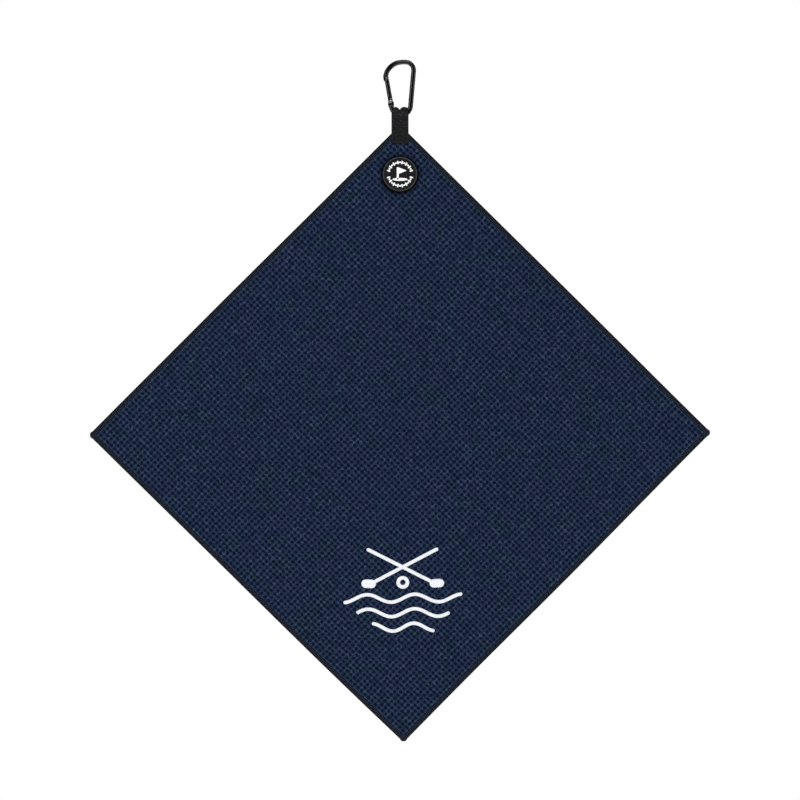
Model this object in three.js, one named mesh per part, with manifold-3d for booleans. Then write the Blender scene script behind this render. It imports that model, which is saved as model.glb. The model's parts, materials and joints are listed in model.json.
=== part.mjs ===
import * as THREE from 'three';
import { mergeVertices } from 'three/addons/utils/BufferGeometryUtils.js';
import Module from 'manifold-3d';

// Golf towel hung by one corner from a small carabiner. Millimetres, +Z up.
// The embroidered face looks along -Y.
// The origin is the middle of the carabiner's inner crown, where the hook it hangs on touches.

const seat = 0.3;                       // gap left between pieces that touch

// carabiner
const rodDiameter = 4.5;
const carabinerHeight = 53.8;
const crownRadius = 16.75;              // long arc of the crown, at the rod's centre
const crownPeakX = 2.7;
const shoulderRadius = 6.5;             // where the crown turns down to the nose
const shoulderStart = 152;              // degrees round the crown arc
const noseLean = 9.5;                   // degrees
const cornerRadius = 7.5;
const spineLean = 5;                    // degrees
const bendRadius = 8.9;                 // bottom bend that carries the webbing
const bendCentreX = 0.9;
const hingeRise = 5.2;                  // rivet above the bottom bend's end
const tongueThickness = 1.5;
const tongueRadius = 1.7;
const hingeShoulder = 2.8;              // half the width of the pressed end under the rivet

// gate
const gateRadius = 2.15;
const gateBoreRadius = 1.35;
const gateBoreDepth = 14;
const noseGap = 0.35;
const lipLength = 4.6;
const lipThickness = 1.3;
const lipWidth = 1.4;
const latchPinRadius = 0.5;
const latchPinDrop = 2.3;               // below the nose's end
const rivetRadius = 0.8;
const rivetHeadRadius = 1.4;
const plungerRadius = 1.0;
const plungerLength = 3;
const springCoilRadius = 0.85;
const springWireRadius = 0.2;
const springLength = 6.4;
const springTurns = 7;

// webbing
const webbingWidth = 15.9;
const webbingThickness = 1.2;
const loopWidth = 11.4;                 // gathered where it passes through the carabiner's bend
const loopShift = 0.4;
const loopInnerRadius = 4.95;
const swingDrop = 7.45;                 // axis the loop swings on, below the bend's centre
const fullWidthDrop = 4.0;              // below the swing axis
const footHalfThickness = 1.5;
const kneeDrop = 8.4;                   // where the webbing bends, below the swing axis
const knuckleRadius = 1.35;
const tailLength = 19.5;
const stitchRadius = 0.22;
const stitchInset = 2.2;
const stitchDrop = 5.5;

// towel
const towelSide = 406.4;
const clothThickness = 2.4;
const apexDrop = 2.5;                   // the cloth's top corner, below the webbing's bend
const clothSteps = 28;
const hemWidth = 4.4;
const hemWall = 0.6;
const nubRadius = 3.5;
const nubInset = 3.1;                   // from both edges of the towel
const nubFlatness = 0.7;                // its thickness as a share of its width
const foldHeight = 4.2;                 // height of the hanging cloth's soft folds
const foldLength = 230;
const foldStart = 78.5;                 // folds grow from here down, below the top corner
const foldFull = 273.5;

// badge
const badgeDrop = 45.8;                 // below the top corner
const badgeRadius = 16.2;
const badgeFace = 3.4;                  // in front of the cloth's face, seat included
const ridgeHeight = 0.6;
const ridgeRadius = 15.4;
const ridgeWidth = 0.9;
const magnetRadius = 12.6;
const magnetHole = 5.4;
const magnetThickness = 1.7;
const postRadius = 1.9;
const postFlangeRadius = 4.8;
const backCapRadius = 14.5;
const backCapThickness = 2.1;
const markInner = 9.4;
const markOuter = 12.4;
const marksPerArc = 15;
const markArc = 148;                    // degrees covered by each arc of marks
const emblemThickness = 0.5;

// embroidery
const embroideryX = 2.8;
const embroideryDrop = 431.3;           // below the top corner
const strokeWidth = 3.4;
const strokeThickness = 0.8;
const bobbinWidth = 2.2;
const bobbinThickness = 0.5;
const waveHeight = 3.6;
const waves = [['upper', -7.5, 110, 2.5], ['middle', -21, 86, 2], ['lower', -34.5, 58, 1.5]];

const rodRadius = rodDiameter / 2;
const degrees = Math.PI / 180;
const halfCloth = clothThickness / 2;
const halfDiagonal = towelSide / Math.SQRT2;
const bendCentreZ = rodDiameter - carabinerHeight + rodRadius + bendRadius;
const swingAxisZ = bendCentreZ - swingDrop;
const bendAxisZ = swingAxisZ - kneeDrop;
const clothApexZ = bendAxisZ - apexDrop;
const centreZ = clothApexZ - halfDiagonal;
const badgeZ = clothApexZ - badgeDrop;
const embroideryZ = clothApexZ - embroideryDrop;

const wasm = await Module();
wasm.setup();

const group = new THREE.Group();
group.name = 'golf_towel';

const blackAnodised = new THREE.MeshStandardMaterial({ color: '#17181b', roughness: 0.35, metalness: 0.9 });
const bareSteel = new THREE.MeshStandardMaterial({ color: '#b9bcc0', roughness: 0.3, metalness: 1.0 });
const darkSteel = new THREE.MeshStandardMaterial({ color: '#6d7075', roughness: 0.4, metalness: 1.0 });
const blackWebbing = new THREE.MeshStandardMaterial({ color: '#202124', roughness: 0.9, metalness: 0.0 });
const blackThread = new THREE.MeshStandardMaterial({ color: '#141518', roughness: 0.8, metalness: 0.0 });
const navyCloth = new THREE.MeshStandardMaterial({ color: '#1e2a45', roughness: 1.0, metalness: 0.0 });
const hemThread = new THREE.MeshStandardMaterial({ color: '#15161f', roughness: 0.9, metalness: 0.0 });
const blackRubber = new THREE.MeshStandardMaterial({ color: '#141517', roughness: 0.6, metalness: 0.0 });
const whiteRubber = new THREE.MeshStandardMaterial({ color: '#eceef0', roughness: 0.55, metalness: 0.0 });
const whiteThread = new THREE.MeshStandardMaterial({ color: '#f5f8fb', roughness: 0.6, metalness: 0.0 });

// An arc in the XZ plane between two angles in degrees, measured from +X towards +Z.
class Arc extends THREE.Curve {
  constructor(x, z, radius, from, to) {
    super();
    this.x = x;
    this.z = z;
    this.radius = radius;
    this.from = from * degrees;
    this.to = to * degrees;
  }

  getPoint(t, target = new THREE.Vector3()) {
    const angle = this.from + (this.to - this.from) * t;
    return target.set(this.x + this.radius * Math.cos(angle), 0, this.z + this.radius * Math.sin(angle));
  }
}

// A curve in the XZ plane given by a formula of t from 0 to 1.
class Trace extends THREE.Curve {
  constructor(formula) {
    super();
    this.formula = formula;
  }

  getPoint(t, target = new THREE.Vector3()) {
    const [x, z] = this.formula(t);
    return target.set(x, 0, z);
  }
}

function signedVolume(geometry) {
  const position = geometry.getAttribute('position');
  const index = geometry.index;
  const a = new THREE.Vector3();
  const b = new THREE.Vector3();
  const c = new THREE.Vector3();
  let sum = 0;
  for (let i = 0; i < index.count; i += 3) {
    a.fromBufferAttribute(position, index.getX(i));
    b.fromBufferAttribute(position, index.getX(i + 1));
    c.fromBufferAttribute(position, index.getX(i + 2));
    sum += a.dot(b.cross(c)) / 6;
  }
  return sum;
}

// Welds a geometry's shared corners and turns its faces outwards.
function welded(geometry) {
  const bare = geometry.clone();
  bare.deleteAttribute('normal');
  bare.deleteAttribute('uv');
  const merged = mergeVertices(bare, 1e-3);
  if (signedVolume(merged) < 0) {
    const index = merged.index;
    for (let i = 0; i < index.count; i += 3) {
      const first = index.getX(i);
      index.setX(i, index.getX(i + 1));
      index.setX(i + 1, first);
    }
  }
  return merged;
}

function toSolid(geometry) {
  const merged = welded(geometry);
  return new wasm.Manifold(new wasm.Mesh({
    numProp: 3,
    vertProperties: new Float32Array(merged.getAttribute('position').array),
    triVerts: new Uint32Array(merged.index.array),
  }));
}

function toGeometry(solid) {
  const mesh = solid.getMesh();
  const geometry = new THREE.BufferGeometry();
  const stride = mesh.numProp;
  const count = mesh.vertProperties.length / stride;
  const position = new Float32Array(count * 3);
  for (let i = 0; i < count; i += 1) {
    position.set(mesh.vertProperties.subarray(i * stride, i * stride + 3), i * 3);
  }
  geometry.setAttribute('position', new THREE.BufferAttribute(position, 3));
  geometry.setIndex(new THREE.BufferAttribute(new Uint32Array(mesh.triVerts), 1));
  return geometry;
}

function joined(geometries) {
  return geometries.map(toSolid).reduce((whole, next) => whole.add(next));
}

function addPiece(name, geometry, material) {
  const mesh = new THREE.Mesh(geometry, material);
  mesh.name = name;
  group.add(mesh);
}

function box(x0, x1, y0, y1, z0, z1) {
  const geometry = new THREE.BoxGeometry(x1 - x0, y1 - y0, z1 - z0);
  return geometry.translate((x0 + x1) / 2, (y0 + y1) / 2, (z0 + z1) / 2);
}

// A cylinder along Y; CylinderGeometry already stands on that axis.
function crossCylinder(radius, length, segments) {
  return new THREE.CylinderGeometry(radius, radius, length, segments);
}

function uprightCylinder(radius, z0, z1, segments) {
  const geometry = new THREE.CylinderGeometry(radius, radius, z1 - z0, segments);
  return geometry.rotateX(Math.PI / 2).translate(0, 0, (z0 + z1) / 2);
}

// Sweeps a flat shape along a curve. In the XZ plane the shape's x runs through the thickness, its y across.
function sweep(shape, path, steps) {
  return new THREE.ExtrudeGeometry(shape, { steps, curveSegments: 8, extrudePath: path });
}

function circle(radius, segments) {
  const points = [];
  for (let i = 0; i < segments; i += 1) {
    const angle = (2 * Math.PI * i) / segments;
    points.push(new THREE.Vector2(radius * Math.cos(angle), radius * Math.sin(angle)));
  }
  return new THREE.Shape(points);
}

// Extrudes a shape drawn in (y, z) along X.
function extrudeAcross(shape, width, middleX) {
  const settings = { depth: width, bevelEnabled: false, curveSegments: 20 };
  const geometry = new THREE.ExtrudeGeometry(shape, settings);
  const basis = new THREE.Matrix4().makeBasis(
    new THREE.Vector3(0, 1, 0),
    new THREE.Vector3(0, 0, 1),
    new THREE.Vector3(1, 0, 0),
  );
  return geometry.applyMatrix4(basis).translate(middleX - width / 2, 0, 0);
}

// Extrudes a shape drawn in (x, z) from y0 to y1.
function extrudeThrough(shape, y0, y1) {
  const settings = { depth: y1 - y0, bevelEnabled: false, curveSegments: 16 };
  const geometry = new THREE.ExtrudeGeometry(shape, settings);
  return geometry.rotateX(Math.PI / 2).translate(0, y1, 0);
}

function lathe(profile, segments) {
  const points = profile.map(([radius, y]) => new THREE.Vector2(radius, y));
  return new THREE.LatheGeometry(points, segments);
}

function smoothStep(t) {
  const s = Math.min(1, Math.max(0, t));
  return s * s * (3 - 2 * s);
}

// How far the hanging cloth stands away from its plane at a point.
function drape(x, z) {
  const grow = smoothStep((clothApexZ - foldStart - z) / (foldFull - foldStart));
  const fall = Math.sin((2 * Math.PI * (x + 0.12 * (z - centreZ))) / foldLength + 0.7);
  const roll = Math.sin((2 * Math.PI * (z - centreZ)) / (2.1 * foldLength) + x / foldLength);
  return foldHeight * grow * (0.75 * fall + 0.25 * roll);
}

function draped(geometry) {
  const position = geometry.getAttribute('position');
  for (let i = 0; i < position.count; i += 1) {
    position.setY(i, position.getY(i) + drape(position.getX(i), position.getZ(i)));
  }
  return geometry;
}

// carabiner frame: nose, crown, spine and bottom bend in one rod, then the lip and the hinge's tongue

const crownCentreZ = rodRadius - crownRadius;
const shoulderX = crownPeakX + (crownRadius - shoulderRadius) * Math.cos(shoulderStart * degrees);
const shoulderZ = crownCentreZ + (crownRadius - shoulderRadius) * Math.sin(shoulderStart * degrees);
const crownArc = new Arc(crownPeakX, crownCentreZ, crownRadius, shoulderStart, 90);
const shoulderArc = new Arc(shoulderX, shoulderZ, shoulderRadius, 180 + noseLean, shoulderStart);
const nose = shoulderArc.getPoint(0);

const toNose = Math.atan2(nose.z - bendCentreZ, nose.x - bendCentreX);
const noseDistance = Math.hypot(nose.z - bendCentreZ, nose.x - bendCentreX);
const bendEnd = (toNose + Math.acos(bendRadius / noseDistance)) / degrees;
const bendArc = new Arc(bendCentreX, bendCentreZ, bendRadius, -spineLean, bendEnd - 360);
const legStart = bendArc.getPoint(1);
const gateDirection = nose.clone().sub(legStart).normalize();
const pivot = legStart.clone().addScaledVector(gateDirection, hingeRise);
const gateLength = pivot.distanceTo(nose);
const gateTilt = Math.atan2(gateDirection.x, gateDirection.z);
const legEnd = pivot.clone().addScaledVector(gateDirection, -(gateRadius + 2 * seat));

const spineFoot = bendArc.getPoint(0);
const spineRise = (rodRadius - cornerRadius - spineFoot.z - cornerRadius * Math.sin(spineLean * degrees))
  / Math.cos(spineLean * degrees);
const cornerCentreX = spineFoot.x + spineRise * Math.sin(spineLean * degrees)
  - cornerRadius * Math.cos(spineLean * degrees);
const cornerArc = new Arc(cornerCentreX, rodRadius - cornerRadius, cornerRadius, 90, -spineLean);

const rodPath = new THREE.CurvePath();
rodPath.add(shoulderArc);
rodPath.add(crownArc);
rodPath.add(new THREE.LineCurve3(crownArc.getPoint(1), cornerArc.getPoint(0)));
rodPath.add(cornerArc);
rodPath.add(new THREE.LineCurve3(cornerArc.getPoint(1), spineFoot));
rodPath.add(bendArc);
rodPath.add(new THREE.LineCurve3(legStart, legEnd));

// Puts a shape built round the hinge, with the gate upright, into its place on the carabiner.
function onGate(geometry) {
  return geometry.rotateY(gateTilt).translate(pivot.x, 0, pivot.z);
}

const rod = toSolid(sweep(circle(rodRadius, 14), rodPath, 60));
const lipSpan = box(-rodRadius - 1, -rodRadius + lipThickness, -lipWidth / 2, lipWidth / 2,
  gateLength - lipLength, gateLength + 0.6);
const lipRound = uprightCylinder(rodRadius, gateLength - lipLength - 1, gateLength + 1, 24);
const lip = toSolid(onGate(lipSpan)).intersect(toSolid(onGate(lipRound)));
const shoulderTop = -gateRadius - 2 * seat;
const tongueFoot = box(-hingeShoulder, hingeShoulder, -tongueThickness / 2, tongueThickness / 2,
  shoulderTop - 0.8, -0.4);
const shoulderRise = hingeRise + shoulderTop;
const hingeCollar = new THREE.CylinderGeometry(hingeShoulder, rodRadius, shoulderRise, 24)
  .rotateX(Math.PI / 2)
  .translate(0, 0, shoulderTop - shoulderRise / 2);
const tongueEye = crossCylinder(tongueRadius, tongueThickness, 24);
const rivetHole = crossCylinder(rivetRadius + seat, 4 * gateRadius, 20);
const frame = rod
  .add(lip)
  .add(toSolid(onGate(tongueFoot)))
  .add(toSolid(onGate(hingeCollar)))
  .add(toSolid(onGate(tongueEye)))
  .subtract(toSolid(onGate(rivetHole.clone())));
addPiece('carabiner_frame', toGeometry(frame), blackAnodised);

const rivetReach = gateRadius + seat;
const rivetProfile = [
  [0, -rivetReach - 0.55],
  [rivetHeadRadius * 0.7, -rivetReach - 0.5],
  [rivetHeadRadius, -rivetReach - 0.25],
  [rivetHeadRadius, -rivetReach],
  [rivetRadius, -rivetReach],
  [rivetRadius, rivetReach],
  [rivetHeadRadius, rivetReach],
  [rivetHeadRadius, rivetReach + 0.25],
  [rivetHeadRadius * 0.7, rivetReach + 0.5],
  [0, rivetReach + 0.55],
];
addPiece('gate_rivet', welded(onGate(lathe(rivetProfile, 20))), bareSteel);

// gate: a bored bar with a fork round the tongue and a channel for the nose's lip

const gateTop = gateLength - noseGap;
const forkTop = tongueRadius + 3 * seat;
const forkHalf = tongueThickness / 2 + seat;
const earWaste = toSolid(box(-4, 4, -4, 4, -gateRadius - 1, 0))
  .subtract(toSolid(crossCylinder(gateRadius, 10, 32)));
const channelInner = -rodRadius + lipThickness + seat;
const latchPinZ = gateLength - latchPinDrop;
const latchPinX = channelInner + latchPinRadius + seat;
const latchPinHole = crossCylinder(latchPinRadius + seat, 4 * gateRadius, 16);
const gateBar = toSolid(uprightCylinder(gateRadius, -gateRadius, gateTop, 24))
  .subtract(earWaste)
  .subtract(toSolid(uprightCylinder(gateBoreRadius, -gateRadius - 1, gateBoreDepth, 20)))
  .subtract(toSolid(box(-4, 4, -forkHalf, forkHalf, -gateRadius - 1, forkTop)))
  .subtract(toSolid(rivetHole.clone()))
  .subtract(toSolid(box(-4, channelInner, -lipWidth / 2 - seat, lipWidth / 2 + seat,
    gateLength - lipLength - seat, gateLength + 1)))
  .subtract(toSolid(latchPinHole.translate(latchPinX, 0, latchPinZ)));
addPiece('gate_bar', onGate(toGeometry(gateBar)), blackAnodised);

const latchPin = crossCylinder(latchPinRadius, 2 * gateRadius - 0.4, 16).translate(latchPinX, 0, latchPinZ);
addPiece('gate_latch_pin', welded(onGate(latchPin)), bareSteel);

const plungerBottom = forkTop + seat;
const plungerProfile = [
  [0, 0],
  [plungerRadius * 0.6, 0.15],
  [plungerRadius, 0.6],
  [plungerRadius, plungerLength],
  [0, plungerLength],
];
const plunger = lathe(plungerProfile, 20).rotateX(Math.PI / 2).translate(0, 0, plungerBottom);
addPiece('gate_plunger', welded(onGate(plunger)), darkSteel);

class Coil extends THREE.Curve {
  getPoint(t, target = new THREE.Vector3()) {
    const angle = 2 * Math.PI * springTurns * t;
    const x = springCoilRadius * Math.cos(angle);
    const y = springCoilRadius * Math.sin(angle);
    return target.set(x, y, springLength * t);
  }
}

const coilSettings = { steps: 70, extrudePath: new Coil() };
const spring = new THREE.ExtrudeGeometry(circle(springWireRadius, 5), coilSettings);
const springBottom = plungerBottom + plungerLength + seat + springWireRadius;
addPiece('gate_spring', welded(onGate(spring.translate(0, 0, springBottom))), darkSteel);

// webbing loop: gathered round the carabiner's bend, full width below it, with a rounded seat at its foot

const loopOuterRadius = loopInnerRadius + webbingThickness;
const footZ = bendAxisZ - swingAxisZ;
const seatRadius = knuckleRadius + seat;
const seatEdge = seatRadius * Math.SQRT1_2;

function loopShape() {
  const shape = new THREE.Shape();
  shape.moveTo(footHalfThickness, footZ + seatEdge);
  shape.lineTo(footHalfThickness, footZ + seatEdge + 0.6);
  shape.absarc(0, 0, loopOuterRadius, -50 * degrees, 230 * degrees, false);
  shape.lineTo(-footHalfThickness, footZ + seatEdge + 0.6);
  shape.lineTo(-footHalfThickness, footZ + seatEdge);
  shape.absarc(0, footZ, seatRadius, 135 * degrees, 45 * degrees, true);
  shape.closePath();
  const eye = new THREE.Path();
  eye.absarc(0, 0, loopInnerRadius, 0, 2 * Math.PI, true);
  shape.holes.push(eye);
  return shape;
}

const loopWide = toSolid(extrudeAcross(loopShape(), webbingWidth, 0))
  .intersect(toSolid(box(-20, 20, -20, 20, -20, -fullWidthDrop)));
const loopNarrow = toSolid(extrudeAcross(loopShape(), loopWidth, loopShift))
  .intersect(toSolid(box(-20, 20, -20, 20, -fullWidthDrop - 0.5, 20)));
const loop = toGeometry(loopWide.add(loopNarrow)).translate(0, 0, swingAxisZ);
addPiece('webbing_loop', loop, blackWebbing);

// webbing tail: two layers sewn over the towel's top corner, hinged at the knuckle

const tailBottomZ = bendAxisZ - tailLength;
const pocketHalf = halfCloth + seat;
const tailHalf = pocketHalf + webbingThickness;
const pocketTopZ = clothApexZ + seat;
const tailShape = new THREE.Shape();
tailShape.moveTo(tailHalf, tailBottomZ);
tailShape.lineTo(tailHalf, pocketTopZ - 0.1);
tailShape.lineTo(knuckleRadius, bendAxisZ - 0.9);
tailShape.absarc(0, bendAxisZ, knuckleRadius, 0, Math.PI, false);
tailShape.lineTo(-knuckleRadius, bendAxisZ - 0.9);
tailShape.lineTo(-tailHalf, pocketTopZ - 0.1);
tailShape.lineTo(-tailHalf, tailBottomZ);
tailShape.lineTo(-pocketHalf, tailBottomZ);
tailShape.lineTo(-pocketHalf, pocketTopZ);
tailShape.lineTo(pocketHalf, pocketTopZ);
tailShape.lineTo(pocketHalf, tailBottomZ);
tailShape.closePath();
addPiece('webbing_tail', welded(extrudeAcross(tailShape, webbingWidth, 0)), blackWebbing);

// A straight run of thread between two points of a plane facing Y.
function threadRun(x0, z0, x1, z1, y) {
  const length = Math.hypot(x1 - x0, z1 - z0);
  const geometry = new THREE.CylinderGeometry(stitchRadius, stitchRadius, length, 6);
  geometry.rotateX(Math.PI / 2);
  geometry.rotateY(Math.atan2(x1 - x0, z1 - z0));
  return geometry.translate((x0 + x1) / 2, y, (z0 + z1) / 2);
}

const stitchHalfX = webbingWidth / 2 - stitchInset;
const stitchTopZ = bendAxisZ - stitchDrop;
const stitchBottomZ = tailBottomZ + stitchInset;
const stitchY = tailHalf + seat + stitchRadius;
for (const [name, side] of [['strap_stitch_front', -1], ['strap_stitch_back', 1]]) {
  const y = side * stitchY;
  const end = stitchRadius * 0.8;
  const runs = [
    threadRun(-stitchHalfX - end, stitchTopZ, stitchHalfX + end, stitchTopZ, y),
    threadRun(-stitchHalfX - end, stitchBottomZ, stitchHalfX + end, stitchBottomZ, y),
    threadRun(-stitchHalfX, stitchBottomZ, -stitchHalfX, stitchTopZ, y),
    threadRun(stitchHalfX, stitchBottomZ, stitchHalfX, stitchTopZ, y),
    threadRun(-stitchHalfX, stitchBottomZ, stitchHalfX, stitchTopZ, y),
    threadRun(-stitchHalfX, stitchTopZ, stitchHalfX, stitchBottomZ, y),
  ];
  addPiece(name, toGeometry(joined(runs)), blackThread);
}

// towel: a square cloth on its corner, an overlocked channel round each edge, a thread nub at each corner

// Edge k runs from corner k to corner k + 1, clockwise from the top corner. Gives the point that lies
// a distance along it and a distance in from it, in the towel's plane.
function edgePoint(edge, along, inward) {
  const angle = (90 - 90 * edge) * degrees;
  const corner = new THREE.Vector2(Math.cos(angle), Math.sin(angle)).multiplyScalar(halfDiagonal);
  const next = new THREE.Vector2(Math.sin(angle), -Math.cos(angle)).multiplyScalar(halfDiagonal);
  const direction = next.clone().sub(corner).normalize();
  const normal = next.clone().add(corner).normalize().negate();
  return corner.addScaledVector(direction, along).addScaledVector(normal, inward);
}

const clothEdge = 2 * seat + hemWall;
const clothSide = towelSide - 2 * clothEdge;
const clothBlank = new THREE.BoxGeometry(clothSide, clothSide, clothThickness, clothSteps, clothSteps, 1);
clothBlank.rotateZ(45 * degrees).rotateX(Math.PI / 2).translate(0, 0, centreZ);
const postHole = crossCylinder(postRadius + seat, 10, 24).translate(0, 0, badgeZ);
let cloth = toSolid(draped(clothBlank)).subtract(toSolid(postHole));

function nub(corner, radius, rows) {
  const at = edgePoint(corner, nubInset, nubInset);
  const z = centreZ + at.y;
  const ball = new THREE.SphereGeometry(radius, 2 * rows, rows);
  return ball.scale(1, nubFlatness, 1).translate(at.x, drape(at.x, z), z);
}

for (const [corner, name] of [[1, 'corner_nub_right'], [2, 'corner_nub_bottom'], [3, 'corner_nub_left']]) {
  cloth = cloth.subtract(toSolid(nub(corner, nubRadius + seat, 8)));
  addPiece(name, welded(nub(corner, nubRadius, 8)), hemThread);
}
addPiece('towel_cloth', toGeometry(cloth), navyCloth);

const hemHalf = halfCloth + seat + hemWall;
const slotHalf = halfCloth + seat;
const hemProfile = [
  [0.5, -hemHalf],
  [0, -hemHalf + 0.7],
  [0, hemHalf - 0.7],
  [0.5, hemHalf],
  [hemWidth, hemHalf],
  [hemWidth, slotHalf],
  [seat + hemWall, slotHalf],
  [seat + hemWall, -slotHalf],
  [hemWidth, -slotHalf],
  [hemWidth, -hemHalf],
];

// How far from a corner a hem stops, at a distance in from its edge. It follows the nub's curve.
function hemStop(corner, inward) {
  if (corner === 0) {
    return (webbingWidth / 2 + 2 * seat) * Math.SQRT2 + inward;
  }
  const across = Math.max(0, nubInset - 4 * inward);
  return nubInset + Math.sqrt((nubRadius + seat) ** 2 - across ** 2);
}

const hemNames = ['hem_upper_right', 'hem_lower_right', 'hem_lower_left', 'hem_upper_left'];
hemNames.forEach((name, edge) => {
  const shape = new THREE.Shape(hemProfile.map(([inward, y]) => new THREE.Vector2(inward, y)));
  const geometry = new THREE.ExtrudeGeometry(shape, { depth: 1, steps: clothSteps, bevelEnabled: false });
  const position = geometry.getAttribute('position');
  for (let i = 0; i < position.count; i += 1) {
    const inward = position.getX(i);
    const start = hemStop(edge, inward);
    const end = towelSide - hemStop((edge + 1) % 4, inward);
    const at = edgePoint(edge, start + (end - start) * position.getZ(i), inward);
    position.setXYZ(i, at.x, position.getY(i), centreZ + at.y);
  }
  addPiece(name, welded(draped(geometry)), hemThread);
});

// badge: a rubber cap in front holding a ring magnet, riveted through the cloth to a cap behind

const badgeBack = -(halfCloth + seat);
const badgeFront = badgeBack - badgeFace;
const cavityRadius = magnetRadius + 0.4;
const cavityFloor = badgeFront + 1;
const frontProfile = [
  [0, badgeFront],
  [ridgeRadius - ridgeWidth / 2 - 0.3, badgeFront],
  [ridgeRadius - ridgeWidth / 2, badgeFront - ridgeHeight],
  [ridgeRadius + ridgeWidth / 2, badgeFront - ridgeHeight],
  [badgeRadius, badgeFront + 0.2],
  [badgeRadius, badgeBack - 0.5],
  [badgeRadius - 0.5, badgeBack],
  [cavityRadius, badgeBack],
  [cavityRadius, cavityFloor],
  [0, cavityFloor],
];
addPiece('badge_front_cap', welded(lathe(frontProfile, 48).translate(0, 0, badgeZ)), blackRubber);

const magnetFront = cavityFloor + seat;
const magnetProfile = [
  [magnetHole, magnetFront],
  [magnetRadius, magnetFront],
  [magnetRadius, magnetFront + magnetThickness],
  [magnetHole, magnetFront + magnetThickness],
  [magnetHole, magnetFront],
];
addPiece('badge_magnet', welded(lathe(magnetProfile, 32).translate(0, 0, badgeZ)), darkSteel);

const capBehind = -badgeBack;
const socketEnd = capBehind + backCapThickness - 0.8;
const postProfile = [
  [0, magnetFront],
  [postFlangeRadius, magnetFront],
  [postFlangeRadius, magnetFront + 0.8],
  [postRadius, magnetFront + 0.8],
  [postRadius, socketEnd - seat],
  [0, socketEnd - seat],
];
addPiece('badge_post', welded(lathe(postProfile, 24).translate(0, 0, badgeZ)), darkSteel);

const backProfile = [
  [0, socketEnd],
  [postRadius + seat, socketEnd],
  [postRadius + seat, capBehind],
  [backCapRadius, capBehind],
  [backCapRadius, capBehind + backCapThickness - 0.7],
  [backCapRadius - 0.7, capBehind + backCapThickness],
  [0, capBehind + backCapThickness],
];
addPiece('badge_back_cap', welded(lathe(backProfile, 40).translate(0, 0, badgeZ)), blackRubber);

const emblemBack = badgeFront - seat;
const emblemFront = emblemBack - emblemThickness;

const flagShape = new THREE.Shape([[-3, -5], [-1.2, -5], [-1.2, 0.2], [6.2, 3.2], [-1.2, 6.2], [-3, 6.2]]
  .map(([x, z]) => new THREE.Vector2(x, z)));
const greenTop = new THREE.Shape();
greenTop.absellipse(0, -4.9, 7, 1.3, 0, 2 * Math.PI, false);
const emblem = joined([
  extrudeThrough(flagShape, emblemFront, emblemBack),
  extrudeThrough(greenTop, emblemFront, emblemBack),
]);
addPiece('badge_emblem', toGeometry(emblem).translate(0, 0, badgeZ), whiteRubber);

const markMiddle = (markInner + markOuter) / 2;
for (const [name, centre] of [['badge_marks_upper', 90], ['badge_marks_lower', 270]]) {
  const from = (centre - markArc / 2) * degrees;
  const to = (centre + markArc / 2) * degrees;
  const band = new THREE.Shape();
  band.absarc(0, 0, markMiddle + 0.25, from, to, false);
  band.absarc(0, 0, markMiddle - 0.25, to, from, true);
  band.closePath();
  const pieces = [extrudeThrough(band, emblemFront, emblemBack)];
  for (let i = 0; i < marksPerArc; i += 1) {
    const reach = i % 2 === 0 ? (markOuter - markInner) / 2 : (markOuter - markInner) / 4;
    const mark = box(markMiddle - reach, markMiddle + reach, emblemFront, emblemBack, -0.6, 0.6);
    pieces.push(mark.rotateY(-(from + ((to - from) * i) / (marksPerArc - 1))));
  }
  addPiece(name, toGeometry(joined(pieces)).translate(0, 0, badgeZ), whiteRubber);
}

// embroidery: two crossed clubs and a ball over three rolling lines, satin stitched, bobbin thread behind

function ribbonShape(width, thickness) {
  const w = width / 2;
  const h = thickness / 2;
  const points = [[-h, -w * 0.7], [0, -w], [h, -w * 0.7], [h, w * 0.7], [0, w], [-h, w * 0.7]];
  return new THREE.Shape(points.map(([x, y]) => new THREE.Vector2(x, y)));
}

function onEmbroidery(geometry) {
  return draped(geometry.translate(embroideryX, 0, embroideryZ));
}

function line(x0, z0, x1, z1) {
  return new Trace((t) => [x0 + (x1 - x0) * t, z0 + (z1 - z0) * t]);
}

function disc(x, z, radiusX, radiusZ, holeX, holeZ) {
  const shape = new THREE.Shape();
  shape.absellipse(x, z, radiusX, radiusZ, 0, 2 * Math.PI, false);
  if (holeX > 0) {
    const hole = new THREE.Path();
    hole.absellipse(x, z, holeX, holeZ, 0, 2 * Math.PI, true);
    shape.holes.push(hole);
  }
  return shape;
}

const faces = [
  ['', strokeWidth, -halfCloth - seat - strokeThickness, -halfCloth - seat],
  ['_bobbin', bobbinWidth, halfCloth + seat, halfCloth + seat + bobbinThickness],
];
for (const [suffix, width, y0, y1] of faces) {
  const shape = ribbonShape(width, y1 - y0);
  const slim = (strokeWidth - width) / 2;
  const ribbon = (path, steps) => onEmbroidery(sweep(shape, path, steps).translate(0, (y0 + y1) / 2, 0));
  const patch = (outline) => onEmbroidery(extrudeThrough(outline, y0, y1));
  const shafts = [-1, 1].flatMap((side) => {
    const top = -side * 33;
    const foot = side * 27;
    const head = disc(side * 31.5, 6.2, 7 - slim, 4.2 - slim, 0, 0);
    return [ribbon(line(top, 38.6, foot, 7.5), 8), patch(head)];
  });
  addPiece(`embroidery_clubs${suffix}`, toGeometry(joined(shafts)), whiteThread);
  const ball = patch(disc(0, 7.2, 6 - slim, 6 - slim, 2.4 + slim, 2.4 + slim));
  addPiece(`embroidery_ball${suffix}`, welded(ball), whiteThread);
  for (const [level, z, length, swells] of waves) {
    const rolling = new Trace((t) => [
      length * (t - 0.5),
      z + waveHeight * Math.sin(2 * Math.PI * swells * (t - 0.5)),
    ]);
    const stroke = welded(ribbon(rolling, Math.round(length / 3)));
    addPiece(`embroidery_wave_${level}${suffix}`, stroke, whiteThread);
  }
}

export default group;
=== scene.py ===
import json
import math

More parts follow.
